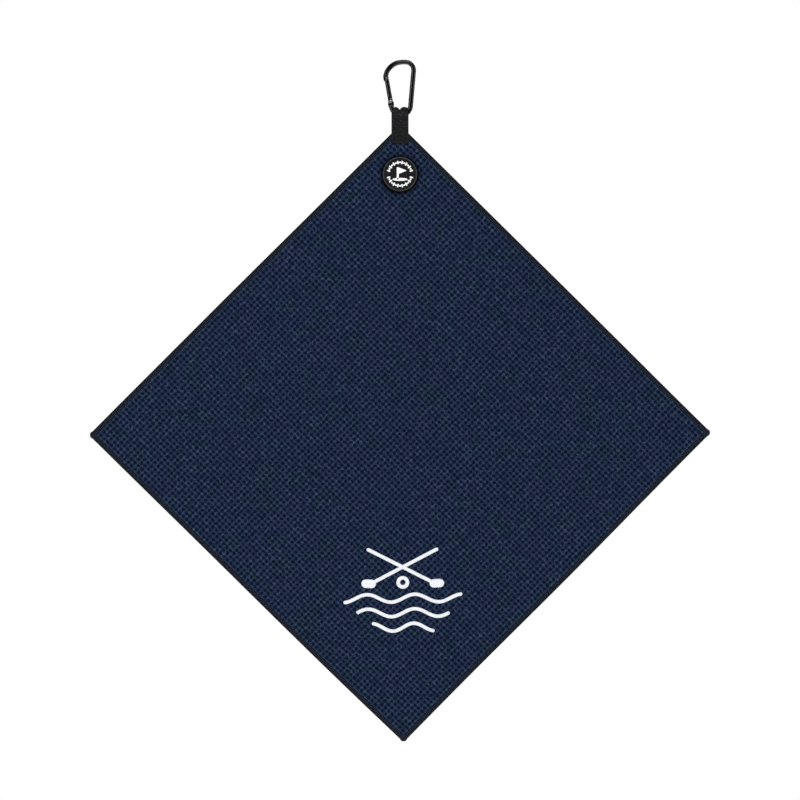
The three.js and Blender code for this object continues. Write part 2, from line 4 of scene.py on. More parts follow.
import bpy
import numpy as np
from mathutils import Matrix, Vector

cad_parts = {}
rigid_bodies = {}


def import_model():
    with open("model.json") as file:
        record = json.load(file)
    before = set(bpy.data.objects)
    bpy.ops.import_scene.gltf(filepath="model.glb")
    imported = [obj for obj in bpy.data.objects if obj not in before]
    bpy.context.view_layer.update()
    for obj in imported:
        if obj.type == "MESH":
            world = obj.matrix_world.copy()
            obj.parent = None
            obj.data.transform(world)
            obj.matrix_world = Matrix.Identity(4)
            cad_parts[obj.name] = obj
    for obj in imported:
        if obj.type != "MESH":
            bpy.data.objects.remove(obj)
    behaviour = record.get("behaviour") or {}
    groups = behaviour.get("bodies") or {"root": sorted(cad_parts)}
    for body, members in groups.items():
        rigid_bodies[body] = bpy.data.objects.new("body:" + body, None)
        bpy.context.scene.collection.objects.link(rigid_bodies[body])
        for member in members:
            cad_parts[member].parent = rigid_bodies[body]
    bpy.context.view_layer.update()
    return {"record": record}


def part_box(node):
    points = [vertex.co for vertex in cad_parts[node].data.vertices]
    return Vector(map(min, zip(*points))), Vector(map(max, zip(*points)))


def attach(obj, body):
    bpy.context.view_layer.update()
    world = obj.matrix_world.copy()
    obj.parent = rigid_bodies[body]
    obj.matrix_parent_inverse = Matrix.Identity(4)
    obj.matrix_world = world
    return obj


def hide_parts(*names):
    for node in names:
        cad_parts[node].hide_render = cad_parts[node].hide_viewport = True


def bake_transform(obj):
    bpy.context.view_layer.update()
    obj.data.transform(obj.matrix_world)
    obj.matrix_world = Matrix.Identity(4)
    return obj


# Golf towel on a small carabiner. Shapes are worked out in millimetres and put down in metres.
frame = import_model()
rng = np.random.default_rng(7)

# the camera first: a long lens, level with the middle of the towel
view = {"lens": 100.0, "distance": 2.062, "height": -0.3114}
cameraData = bpy.data.cameras.new("camera")
cameraData.lens = view["lens"]
camera = bpy.data.objects.new("camera", cameraData)
camera.location = (0, -view["distance"], view["height"])
camera.rotation_euler = (math.pi / 2, 0, 0)
bpy.context.scene.collection.objects.link(camera)
bpy.context.scene.camera = camera


# sRGB hex to linear: c / 12.92 up to 0.04045, above it ((c + 0.055) / 1.055) to the power 2.4
def linear(hexColour):
    c = np.array([int(hexColour[i : i + 2], 16) for i in (1, 3, 5)]) / 255
    c = np.where(c <= 0.04045, c / 12.92, ((c + 0.055) / 1.055) ** 2.4)
    return (*c.tolist(), 1.0)


# adds a shader node: lower-case settings are its options, the others are its sockets; hex text is a colour
def addNode(tree, kind, settings=None, links=None):
    node = tree.nodes.new("ShaderNode" + kind)
    for key, value in (settings or {}).items():
        if isinstance(value, str) and value.startswith("#"):
            value = linear(value)
        if isinstance(key, str) and key[0].islower():
            setattr(node, key, value)
        else:
            node.inputs[key].default_value = value
    for key, output in (links or {}).items():
        tree.links.new(output, node.inputs[key])
    return node


# a table of sockets split into the fixed values and the outputs to link
def splitLinks(sockets):
    links = {key: value for key, value in sockets.items() if isinstance(value, bpy.types.NodeSocket)}
    return {key: value for key, value in sockets.items() if key not in links}, links


# one operation on values that are each an output or fixed
def compute(tree, operation, *values, kind="Math"):
    fixed, links = splitLinks(dict(enumerate(values)))
    return addNode(tree, kind, {"operation": operation, **fixed}, links).outputs[0]


# the first colour going over to the second by a factor, or the two combined as the blend says
def mixColours(tree, factor, first, second, blend="MIX"):
    fixed, links = splitLinks({0: factor, 6: first, 7: second})
    return addNode(tree, "Mix", {"data_type": "RGBA", "blend_type": blend, **fixed}, links).outputs[2]


# low .. high turned into toLow .. toHigh and held at the ends
def mapRange(tree, value, low, high, toLow=0.0, toHigh=1.0, kind="LINEAR"):
    settings = {"interpolation_type": kind, 1: low, 2: high, 3: toLow, 4: toHigh}
    return addNode(tree, "MapRange", settings, {0: value}).outputs[0]


def noise(tree, coords, scale, detail):
    return addNode(tree, "TexNoise", {"Scale": scale, "Detail": detail}, {"Vector": coords}).outputs[0]


# an empty principled material; its fixed values go straight on the shader
def startMaterial(name, settings):
    material = bpy.data.materials.new(name)
    material.use_nodes = True
    tree = material.node_tree
    shader = tree.nodes["Principled BSDF"]
    for key, value in settings.items():
        shader.inputs[key].default_value = linear(value) if isinstance(value, str) else value
    return material, tree, shader


# geometry: a piece is (points, list of face arrays, uv)
# 3 t^2 - 2 t^3, held between 0 and 1
def smoothStep(t):
    s = np.clip(t, 0, 1)
    return s * s * (3 - 2 * s)


# quads (i, j), (i, j+1), (i+1, j+1), (i+1, j) of a grid stored row by row
def gridQuads(rows, cols, wrapRows=False, wrapCols=False):
    i = np.arange(rows if wrapRows else rows - 1)[:, None]
    j = np.arange(cols if wrapCols else cols - 1)[None, :]
    nextI, nextJ = (i + 1) % rows, (j + 1) % cols
    corners = (i * cols + j, i * cols + nextJ, nextI * cols + nextJ, nextI * cols + j)
    return np.stack(corners, -1).reshape(-1, 4)


# turns every face round if the enclosed volume, the sum of a . (b x c) / 6, comes out negative
def outward(points, faces):
    volume = 0.0
    for block in faces:
        for k in range(1, block.shape[1] - 1):
            a, b, c = points[block[:, 0]], points[block[:, k]], points[block[:, k + 1]]
            volume += np.einsum("ij,ij->", a, np.cross(b, c))
    return faces if volume > 0 else [block[:, ::-1] for block in faces]


# puts several pieces into one
def joined(pieces):
    points, faces, uvs, start = [], [], [], 0
    for piece in pieces:
        points.append(piece[0])
        faces += [block + start for block in piece[1]]
        uvs.append(piece[2])
        start += len(piece[0])
    return np.concatenate(points), faces, np.concatenate(uvs)


# tubes: point(k, i, j) = path(k, i) + x_j wide(i) across(k, i) + y_j high(i) lift(k, i), with
# across = tangent x up and lift = across x tangent; flat caps close both ends
def tubes(paths, up, profile, wide=None, high=None):
    paths = paths if paths.ndim == 3 else paths[None]
    count, n, m = paths.shape[0], paths.shape[1], len(profile)
    tangent = np.gradient(paths, axis=1)
    tangent /= np.linalg.norm(tangent, axis=-1, keepdims=True)
    across = np.cross(tangent, np.broadcast_to(up, paths.shape))
    across /= np.linalg.norm(across, axis=-1, keepdims=True)
    lift = np.cross(across, tangent)
    wide = np.ones(n) if wide is None else wide
    high = wide if high is None else high
    x = profile[None, None, :, :1] * wide[None, :, None, None]
    y = profile[None, None, :, 1:] * high[None, :, None, None]
    points = paths[:, :, None] + x * across[:, :, None] + y * lift[:, :, None]
    length = np.cumsum(np.linalg.norm(np.diff(paths, axis=1, prepend=paths[:, :1]), axis=-1), axis=1)
    around = np.linspace(0, 1, m, endpoint=False)
    uv = np.stack(np.broadcast_arrays(length[..., None], around), -1)
    shift = (np.arange(count) * n * m)[:, None, None]
    sides = (gridQuads(n, m, wrapCols=True)[None] + shift).reshape(-1, 4)
    first = (np.arange(m)[::-1][None] + shift[:, 0]).reshape(-1, m)
    last = (np.arange((n - 1) * m, n * m)[None] + shift[:, 0]).reshape(-1, m)
    points = points.reshape(-1, 3)
    return points, outward(points, [sides, first, last]), uv.reshape(-1, 2)


# (r cos a, r sin a) once round
def circle(radius, sides):
    a = np.linspace(0, 2 * np.pi, sides, endpoint=False)
    return radius * np.stack([np.cos(a), np.sin(a)], 1)


# turned about Y: point(i, j) = centre + (r_i cos a_j, y_i, r_i sin a_j); the profile runs from axis to axis
def turned(profile, sides, centre):
    profile = np.asarray(profile, dtype=float)
    a = np.linspace(0, 2 * np.pi, sides, endpoint=False)
    r, y = profile[1:-1, :1], profile[1:-1, 1:]
    rings = np.stack(np.broadcast_arrays(r * np.cos(a), y, r * np.sin(a)), -1).reshape(-1, 3)
    poles = np.array([[0, profile[0, 1], 0], [0, profile[-1, 1], 0]])
    points = np.concatenate([rings, poles]) + np.asarray(centre)
    j = np.arange(sides)
    base = (len(r) - 1) * sides
    top = np.stack([np.full(sides, len(rings)), (j + 1) % sides, j], 1)
    bottom = np.stack([np.full(sides, len(rings) + 1), base + j, base + (j + 1) % sides], 1)
    faces = [gridQuads(len(r), sides, wrapCols=True), top, bottom]
    uv = points[:, [0, 2]]
    return points, outward(points, faces), uv


# a closed sheet: middle(i, j) +- normal(i, j) * half, with quads round the rim
def slab(middle, normal, half, uv):
    rows, cols = middle.shape[:2]
    points = np.concatenate([(middle + way * normal * half).reshape(-1, 3) for way in (1, -1)])
    front = gridQuads(rows, cols)
    rim = np.concatenate([
        np.arange(cols), np.arange(1, rows) * cols + cols - 1,
        (rows - 1) * cols + np.arange(cols - 1)[::-1], np.arange(1, rows - 1)[::-1] * cols,
    ])
    ahead = np.roll(rim, -1)
    edge = np.stack([ahead, rim, rim + rows * cols, ahead + rows * cols], 1)
    faces = [front, front[:, ::-1] + rows * cols, edge]
    return points, outward(points, faces), np.tile(uv.reshape(-1, 2), (2, 1))


# an outline in (x, z) raised from back to front, its front edge drawn in by the bevel along the bisectors
def raised(outline, front, back, centre, bevel=0.15):
    outline = np.asarray(outline, dtype=float)
    ahead = np.roll(outline, -1, 0) - outline
    behind = np.roll(ahead, 1, 0)
    tangent = ahead / np.linalg.norm(ahead, axis=1, keepdims=True)
    tangent = tangent + behind / np.linalg.norm(behind, axis=1, keepdims=True)
    tangent /= np.maximum(np.linalg.norm(tangent, axis=1, keepdims=True), 1e-6)
    area = np.sum(outline[:, 0] * np.roll(outline[:, 1], -1) - np.roll(outline[:, 0], -1) * outline[:, 1])
    inner = outline + np.sign(area) * bevel * np.stack([-tangent[:, 1], tangent[:, 0]], 1)
    step = bevel if back > front else -bevel
    rings = ((outline, back), (outline, front + step), (inner, front))
    points = np.concatenate([np.insert(ring, 1, y, axis=1) for ring, y in rings]) + np.asarray(centre)
    m = len(outline)
    caps = [np.arange(m)[::-1][None], np.arange(2 * m, 3 * m)[None]]
    return points, outward(points, [gridQuads(3, m, wrapCols=True)] + caps), points[:, [0, 2]]


# one Blender object from a piece, with its finish and the body it rides on
def place(name, piece, material, body=None, replaces=(), smooth=True):
    points, faces, uv = piece
    mesh = bpy.data.meshes.new(name)
    mesh.from_pydata((points / 1000).tolist(), [], [f for block in faces for f in block.tolist()])
    loops = np.empty(len(mesh.loops), dtype=np.int32)
    mesh.loops.foreach_get("vertex_index", loops)
    mesh.uv_layers.new(name="UVMap").data.foreach_set("uv", uv.astype(np.float32)[loops].ravel())
    mesh.polygons.foreach_set("use_smooth", np.full(len(mesh.polygons), smooth))
    mesh.materials.append(material)
    mesh.update()
    made = bpy.data.objects.new(name, mesh)
    bpy.context.scene.collection.objects.link(made)
    if replaces:
        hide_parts(*replaces)
    if body:
        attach(made, body)
    return made


# places taken from the CAD, in millimetres
rodBox = np.array(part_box("carabiner_frame")) * 1000
capBox = np.array(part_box("badge_front_cap")) * 1000
backCapBox = np.array(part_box("badge_back_cap")) * 1000
tailBox = np.array(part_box("webbing_tail")) * 1000
badgeZ = float(capBox[:, 2].mean())
joints = {joint["name"]: np.array(joint["pos_m"]) * 1000 for joint in frame["record"]["behaviour"]["joints"]}
pivot, swingZ, bendZ = joints["gate_hinge"], joints["strap_swing"][2], joints["strap_bend"][2]

towel = {
    "side": 406.4,
    "halfThickness": 1.2,
    "apexDrop": 2.5,       # below the strap's bend
    "cells": (91, 97),     # waffle cells along each side, about 4.4 and 4.2 mm each
    "pitDepth": 0.75,
    "foldHeight": 4.2,     # soft folds that fade out towards the strap
    "foldLength": 230.0,
    "foldStart": 78.5,
    "foldFull": 273.5,
    "rightSet": (1.3, 2.2),     # how far each corner hangs from a true square's, in x and z
    "leftSet": (-0.4, 0.0),
    "bottomSet": (3.4, 2.6),
    "swell": 0.8,               # outwards, along the upper left edge
}
apexZ = bendZ - towel["apexDrop"]
halfDiagonal = towel["side"] / math.sqrt(2)
centreZ = apexZ - halfDiagonal


# y = height grow(z) (0.75 sin(2 pi (x + 0.12 (z - zc)) / L + 0.7) + 0.25 sin(2 pi (z - zc) / 2.1 L + x / L))
def drape(x, z):
    s = towel
    grow = smoothStep((apexZ - s["foldStart"] - z) / (s["foldFull"] - s["foldStart"]))
    fall = np.sin(2 * np.pi * (x + 0.12 * (z - centreZ)) / s["foldLength"] + 0.7)
    roll = np.sin(2 * np.pi * (z - centreZ) / (2.1 * s["foldLength"]) + x / s["foldLength"])
    return s["foldHeight"] * grow * (0.75 * fall + 0.25 * roll)


# Where a point of the flat square hangs. With u and v its shares of the upper right and upper left edges it
# moves by u (1 - v) right + v (1 - u) left + u^2 v^2 bottom + swell sin(pi v^2) (1 - u), and y gains the
# folds.
def hang(x, y, z):
    s = towel
    u = (apexZ - z + x) / (math.sqrt(2) * s["side"])
    v = (apexZ - z - x) / (math.sqrt(2) * s["side"])
    swell = s["swell"] * math.sqrt(0.5) * np.sin(np.pi * v ** 2) * (1 - u)
    dx, dz = (u * (1 - v) * right + v * (1 - u) * left + (u * v) ** 2 * bottom
              for right, left, bottom in zip(s["rightSet"], s["leftSet"], s["bottomSet"]))
    return np.stack(np.broadcast_arrays(x + dx - swell, y + drape(x, z), z + dz + swell), -1)


# how far a point is from the badge's middle, seen from the front
def badgeDistance(tree, coords):
    flat = compute(tree, "MULTIPLY", coords, (1.0, 0.0, 1.0), kind="VectorMath")
    settings = {"operation": "DISTANCE", 1: (0.0, 0.0, badgeZ / 1000)}
    return addNode(tree, "VectorMath", settings, {0: flat}).outputs[1]


# Split-fibre polyester knitted in a waffle: matt ridges round deep-set pits, whose dark colour is painted
# shade. The UV counts cells; the pit's mask is (|x|^n + |y|^n)^(1/n) from the cell's middle, between a diamond
# and a circle, a bit uneven.
def waffleMicrofibre():
    s = {
        "ridge": "#1e2a40", "ridgeViolet": "#222941", "ridgeTeal": "#1d2e3b", "light": "#3b485f",
        "pit": "#030c22", "pitBlue": "#06112b", "squareness": 1.6, "pitEdge": (0.22, 0.62),
        "wobble": 0.4, "cellNoise": 300.0, "patchNoise": 60.0, "fibre": 1900.0, "badgeShade": (16.2, 20.5),
    }
    material, tree, shader = startMaterial("waffle microfibre", {
        "Roughness": 0.95, "Specular IOR Level": 0.06, "Sheen Weight": 0.025, "Sheen Roughness": 0.5,
        "Sheen Tint": "#7a87a7",
    })
    coords = addNode(tree, "TexCoord").outputs["Object"]
    uv = addNode(tree, "UVMap", {"uv_map": "UVMap"}).outputs[0]
    settings = {"Scale": s["cellNoise"], "Detail": 1.0}
    wander = addNode(tree, "TexNoise", settings, {"Vector": coords}).outputs[1]
    centred = compute(tree, "SUBTRACT", wander, (0.5, 0.5, 0.5), kind="VectorMath")
    small = addNode(tree, "VectorMath", {"operation": "SCALE", "Scale": s["wobble"]}, {0: centred}).outputs[0]
    moved = compute(tree, "ADD", uv, small, kind="VectorMath")
    cell = compute(tree, "FRACTION", moved, kind="VectorMath")
    offset = compute(tree, "SUBTRACT", cell, (0.5, 0.5, 0.0), kind="VectorMath")
    size = addNode(tree, "SeparateXYZ", links={0: compute(tree, "ABSOLUTE", offset, kind="VectorMath")})
    powers = [compute(tree, "POWER", size.outputs[k], s["squareness"]) for k in (0, 1)]
    reach = compute(tree, "POWER", compute(tree, "ADD", *powers), 1 / s["squareness"])
    uneven = noise(tree, coords, s["cellNoise"] * 0.8, 0.0)
    edge = compute(tree, "ADD", reach, compute(tree, "MULTIPLY_ADD", uneven, 0.22, -0.11))
    mask = mapRange(tree, edge, *s["pitEdge"], kind="SMOOTHSTEP")
    patch = noise(tree, coords, s["patchNoise"], 3.0)
    hue = addNode(tree, "ValToRGB", links={0: patch})
    for k, (spot, tone) in enumerate(((0.32, "ridgeTeal"), (0.68, "ridgeViolet"))):
        hue.color_ramp.elements[k].position = spot
        hue.color_ramp.elements[k].color = linear(s[tone])
    hue.color_ramp.elements.new(0.5).color = linear(s["ridge"])
    bright = mapRange(tree, noise(tree, coords, s["cellNoise"] * 1.7, 2.0), 0.48, 0.75)
    ridge = mixColours(tree, bright, hue.outputs[0], s["light"])
    # painted shade: the pits take a far darker colour than the ridges, standing in for the shade in the
    # recesses
    pit = mixColours(tree, patch, s["pit"], s["pitBlue"])
    body = mixColours(tree, mask, pit, ridge)
    fibre = noise(tree, coords, s["fibre"], 3.0)
    fuzzy = mixColours(tree, 1.0, body, mapRange(tree, fibre, 0.3, 0.75, 0.78, 1.3), "MULTIPLY")
    # painted shade: the cloth's colour darkens close round the badge's rim, standing in for the shade there
    near, far = (radius / 1000 for radius in s["badgeShade"])
    shade = mapRange(tree, badgeDistance(tree, coords), near, far, 0.2, 1.0, "SMOOTHSTEP")
    tree.links.new(mixColours(tree, 1.0, fuzzy, shade, "MULTIPLY"), shader.inputs["Base Color"])
    relief = addNode(tree, "Bump", {"Strength": 0.5, "Distance": 0.0003}, {"Height": fibre})
    tree.links.new(relief.outputs[0], shader.inputs["Normal"])
    return material


# Spun or filament thread: the plies show as slanting bands, so the wave runs on (along, around) in UV and
# the fibre noise breaks it up. UV u is the length in mm, v the turn.
def thread(name, s):
    material, tree, shader = startMaterial(name, {
        "Roughness": s["roughness"], "Specular IOR Level": s["shine"], "Sheen Weight": s["sheen"],
    })
    coords = addNode(tree, "TexCoord").outputs["Object"]
    uv = addNode(tree, "UVMap", {"uv_map": "UVMap"}).outputs[0]
    lay = addNode(tree, "Mapping", {"Scale": (s["plies"], s["turns"], 1.0)}, {"Vector": uv})
    wave = addNode(tree, "TexWave", {"bands_direction": "DIAGONAL", "Scale": 1.0, "Distortion": 0.4},
                   {"Vector": lay.outputs[0]}).outputs[1]
    tone = mapRange(tree, noise(tree, coords, s["toneNoise"], 3.0), 0.3, 0.7)
    base = mixColours(tree, tone, s["colour"], s["second"])
    # painted shade: the colour goes over to the darker groove colour in the grooves between the plies, where
    # the bump sinks
    final = mixColours(tree, compute(tree, "MULTIPLY", wave, s["depth"]), base, s["groove"])
    tree.links.new(final, shader.inputs["Base Color"])
    relief = addNode(tree, "Bump", {"Strength": s["relief"], "Distance": 0.0002}, {"Height": wave})
    relief.invert = True
    tree.links.new(relief.outputs[0], shader.inputs["Normal"])
    return material


# Heavy polyester tape in a herringbone: cords 1.45 mm apart along the tape, the weft slanting the other way
# in each next cord, so height = |sin(pi x / c)| + 0.6 sin(2 pi (y / w +- x / c)). UV is mm across, mm along.
def polyesterWebbing():
    s = {"low": "#030404", "high": "#1b1c1f", "worn": "#35373a", "cord": 1.45, "weft": 0.95, "noise": 700.0}
    material, tree, shader = startMaterial("polyester webbing", {"Roughness": 0.8, "Specular IOR Level": 0.3})
    coords = addNode(tree, "TexCoord").outputs["Object"]
    uv = addNode(tree, "UVMap", {"uv_map": "UVMap"}).outputs[0]
    axes = addNode(tree, "SeparateXYZ", links={0: uv})
    cord = compute(tree, "DIVIDE", axes.outputs[0], s["cord"])
    along = compute(tree, "DIVIDE", axes.outputs[1], s["weft"])
    twill = compute(tree, "ADD", along, compute(tree, "PINGPONG", cord, 1.0))
    weft = compute(tree, "SINE", compute(tree, "MULTIPLY", twill, 2 * math.pi))
    warp = compute(tree, "ABSOLUTE", compute(tree, "SINE", compute(tree, "MULTIPLY", cord, math.pi)))
    height = compute(tree, "MULTIPLY_ADD", weft, 0.6, warp)
    # painted shade: the colour goes from the high colour down to the nearly black low one where the weave
    # sinks
    base = mixColours(tree, mapRange(tree, height, -0.5, 1.5), s["low"], s["high"])
    worn = mapRange(tree, noise(tree, coords, s["noise"], 3.0), 0.52, 0.72, 0.0, 0.7)
    tree.links.new(mixColours(tree, worn, base, s["worn"]), shader.inputs["Base Color"])
    relief = addNode(tree, "Bump", {"Strength": 0.8, "Distance": 0.0004}, {"Height": height})
    tree.links.new(relief.outputs[0], shader.inputs["Normal"])
    return material


# Hard finishes: fine grain moves the tone and the roughness, and rubbed places show lighter where the
# broad noise peaks. A ring (radius, half width, colour) round the badge's middle is a painted highlight on the
# rim.
def hardFinish(name, s):
    material, tree, shader = startMaterial(name, {
        "Metallic": s["metallic"], "Specular IOR Level": s.get("shine", 0.5),
    })
    coords = addNode(tree, "TexCoord").outputs["Object"]
    grain = noise(tree, coords, s["grain"], 4.0)
    broad = noise(tree, coords, s["grain"] * 0.12, 2.0)
    spread = mapRange(tree, grain, 0.3, 0.7)
    base = mixColours(tree, spread, s["colour"], s["second"])
    final = mixColours(tree, mapRange(tree, broad, 0.55, 0.85, 0.0, s["rubbed"]), base, s["worn"])
    if "ring" in s:
        # painted highlight: a pale ring on the badge's rim, where its ridge would catch the light
        radius, half, pale = s["ring"]
        onPaintedHighlightRing = compute(tree, "COMPARE", badgeDistance(tree, coords), radius / 1000, half / 1000)
        final = mixColours(tree, compute(tree, "MULTIPLY", onPaintedHighlightRing, spread), final, pale)
    rough = mapRange(tree, grain, 0.25, 0.75, *s["rough"])
    relief = addNode(tree, "Bump", {"Strength": s["relief"], "Distance": 0.0001}, {"Height": grain})
    tree.links.new(final, shader.inputs["Base Color"])
    tree.links.new(rough, shader.inputs["Roughness"])
    tree.links.new(relief.outputs[0], shader.inputs["Normal"])
    return material


waffleCloth = waffleMicrofibre()
webbingTape = polyesterWebbing()
overlockThread = thread("textured polyester overlock thread", {
    "colour": "#222a39", "second": "#353e4f", "groove": "#0e1522", "roughness": 0.85, "shine": 0.14,
    "sheen": 0.05, "plies": 1.6, "turns": 1.0, "toneNoise": 420.0, "depth": 0.45, "relief": 0.4,
})
nubThread = thread("wound corner thread", {
    "colour": "#11151f", "second": "#292e3c", "groove": "#05060b", "roughness": 0.85, "shine": 0.14,
    "sheen": 0.0, "plies": 1.2, "turns": 2.0, "toneNoise": 360.0, "depth": 0.6, "relief": 0.6,
})
hemBed = thread("overlock thread bed", {
    "colour": "#03050b", "second": "#060913", "groove": "#010306", "roughness": 0.9, "shine": 0.11,
    "sheen": 0.05, "plies": 0.6, "turns": 0.4, "toneNoise": 380.0, "depth": 0.6, "relief": 0.4,
})
# painted shade: the edge cord is near-black, standing in for the shade along the towel's rim
edgeThread = thread("black looper thread", {
    "colour": "#010103", "second": "#040406", "groove": "#010101", "roughness": 0.9, "shine": 0.04,
    "sheen": 0.0, "plies": 0.5, "turns": 1.0, "toneNoise": 600.0, "depth": 0.6, "relief": 0.5,
})
sewingThread = thread("black bonded sewing thread", {
    "colour": "#0f0f11", "second": "#18191b", "groove": "#040404", "roughness": 0.5, "shine": 0.35,
    "sheen": 0.0, "plies": 1.4, "turns": 1.0, "toneNoise": 700.0, "depth": 0.5, "relief": 0.5,
})
satinThread = thread("white rayon embroidery thread", {
    "colour": "#e2e5ea", "second": "#f4f6f8", "groove": "#b4bac4", "roughness": 0.45, "shine": 0.35,
    "sheen": 0.1, "plies": 0.62, "turns": 0.25, "toneNoise": 300.0, "depth": 0.4, "relief": 0.6,
})
anodised = hardFinish("black anodised aluminium", {
    "metallic": 0.0, "colour": "#020203", "second": "#040404", "worn": "#09090a", "rubbed": 0.3,
    "grain": 260.0, "rough": (0.16, 0.2), "relief": 0.004, "shine": 0.75,
})
bareSteel = hardFinish("bare steel", {
    "metallic": 1.0, "colour": "#b9bcc0", "second": "#cfd1d4", "worn": "#e4e5e6", "rubbed": 0.3,
    "grain": 900.0, "rough": (0.22, 0.4), "relief": 0.1,
})
springSteel = hardFinish("blued spring steel", {
    "metallic": 1.0, "colour": "#5b5f66", "second": "#74777d", "worn": "#9a9da1", "rubbed": 0.3,
    "grain": 900.0, "rough": (0.28, 0.45), "relief": 0.1,
})
nickel = hardFinish("nickel plated magnet", {
    "metallic": 1.0, "colour": "#9fa1a4", "second": "#b4b6b8", "worn": "#8a8782", "rubbed": 0.4,
    "grain": 500.0, "rough": (0.18, 0.3), "relief": 0.05,
})
blackRubber = hardFinish("black soft PVC", {
    "metallic": 0.0, "colour": "#0c0c0e", "second": "#151517", "worn": "#1f1f22", "rubbed": 0.5,
    # the ring is a painted highlight on the badge's rim
    "grain": 1500.0, "rough": (0.42, 0.6), "relief": 0.35, "shine": 0.25, "ring": (15.35, 0.42, "#4c4c4e"),
})
whiteRubber = hardFinish("white soft PVC", {
    "metallic": 0.0, "colour": "#eff0f1", "second": "#fafafa", "worn": "#dfe0e2", "rubbed": 0.4,
    "grain": 1200.0, "rough": (0.4, 0.55), "relief": 0.25, "shine": 0.4,
})
print("finishes ready")

# carabiner: a rod bent into a D, with a hinged gate
rod = {
    "radius": 2.25, "crownRadius": 16.75, "crownPeak": 2.7, "shoulderRadius": 6.5, "shoulderStart": 152.0,
    "noseLean": 9.5, "cornerRadius": 7.5, "spineLean": 5.0, "bendRadius": 8.9, "bendX": 0.9,
    "sides": 32, "step": 0.6, "lipLength": 4.6, "lipProud": 0.55, "swellReach": 3.2,
}


# (x + r cos a, 0, z + r sin a) from one angle to the other
def arc(x, z, radius, start, end):
    count = max(8, int(abs(end - start) * math.pi / 180 * radius / rod["step"]))
    a = np.radians(np.linspace(start, end, count))
    return np.stack([x + radius * np.cos(a), 0 * a, z + radius * np.sin(a)], 1)


# evenly spaced points between two others, without them
def between(a, b):
    count = max(2, int(np.linalg.norm(b - a) / (2 * rod["step"])))
    return a + (b - a) * np.linspace(0, 1, count + 1)[1:-1, None]


bendCentreZ = rodBox[0, 2] + rod["radius"] + rod["bendRadius"]
shoulder = math.radians(rod["shoulderStart"])
setBack = rod["crownRadius"] - rod["shoulderRadius"]
crownZ = rod["radius"] - rod["crownRadius"]
shoulderArc = arc(rod["crownPeak"] + setBack * math.cos(shoulder), crownZ + setBack * math.sin(shoulder),
                  rod["shoulderRadius"], 180 + rod["noseLean"], rod["shoulderStart"])
crownArc = arc(rod["crownPeak"], crownZ, rod["crownRadius"], rod["shoulderStart"], 90)
nose = shoulderArc[0]
toNose = nose - np.array([rod["bendX"], 0, bendCentreZ])
bendEnd = math.atan2(toNose[2], toNose[0]) + math.acos(rod["bendRadius"] / math.hypot(toNose[0], toNose[2]))
bendArc = arc(rod["bendX"], bendCentreZ, rod["bendRadius"], -rod["spineLean"], math.degrees(bendEnd) - 360)
lean = math.radians(rod["spineLean"])
cornerZ = rod["radius"] - rod["cornerRadius"]
climb = (cornerZ - bendArc[0, 2] - rod["cornerRadius"] * math.sin(lean)) / math.cos(lean)
cornerX = bendArc[0, 0] + climb * math.sin(lean) - rod["cornerRadius"] * math.cos(lean)
cornerArc = arc(cornerX, cornerZ, rod["cornerRadius"], 90, -rod["spineLean"])
gateAxis = (nose - bendArc[-1]) / np.linalg.norm(nose - bendArc[-1])
gateSide = np.array([gateAxis[2], 0, -gateAxis[0]])
gateLength = float(np.linalg.norm(nose - pivot))
hinge = {
    "shoulder": 2.8, "shoulderTop": -2.75, "tongueHalf": 0.75, "eye": 1.7, "forkTop": 2.6, "earHalf": 0.55,
    "earOffset": 1.6, "gateRadius": 2.15,
}


# pivot + x side + y Y + z axis
def onGate(local):
    return pivot + local[:, :1] * gateSide + local[:, 1:2] * np.array([0, 1, 0]) + local[:, 2:] * gateAxis


# a plate in the gate's frame: an (x, z) outline between two y, its rims drawn in a little
def plate(outline, middleY, halfY):
    outline = np.asarray(outline, dtype=float)
    inner = outline.mean(0) + (outline - outline.mean(0)) * 0.95
    rings = ((inner, -halfY), (outline, 0.12 - halfY), (outline, halfY - 0.12), (inner, halfY))
    points = onGate(np.concatenate([np.insert(ring, 1, middleY + y, axis=1) for ring, y in rings]))
    m = len(outline)
    caps = [np.arange(m)[::-1][None], np.arange(3 * m, 4 * m)[None]]
    return points, outward(points, [gridQuads(4, m, wrapCols=True)] + caps), points[:, [0, 2]]


legTop = pivot + gateAxis * hinge["shoulderTop"]
leg = between(bendArc[-1], legTop)
rodPath = np.concatenate([shoulderArc, crownArc[1:], between(crownArc[-1], cornerArc[0]), cornerArc,
                          between(cornerArc[-1], bendArc[0]), bendArc, leg, legTop[None]])
# the rod is pressed wider towards the hinge, over its last few points
nearEnd = np.arange(len(rodPath)) > len(rodPath) - 12
fromEnd = np.linalg.norm(rodPath - legTop, axis=1)
swell = np.where(nearEnd, smoothStep(1 - fromEnd / rod["swellReach"]), 0)
wide = 1 + (hinge["shoulder"] / rod["radius"] - 1) * swell
high = np.ones(len(rodPath))
wide[[0, -1]] *= 0.9
high[[0, -1]] *= 0.85
rodPiece = tubes(rodPath, (0, 1, 0), circle(rod["radius"], rod["sides"]), wide, high)

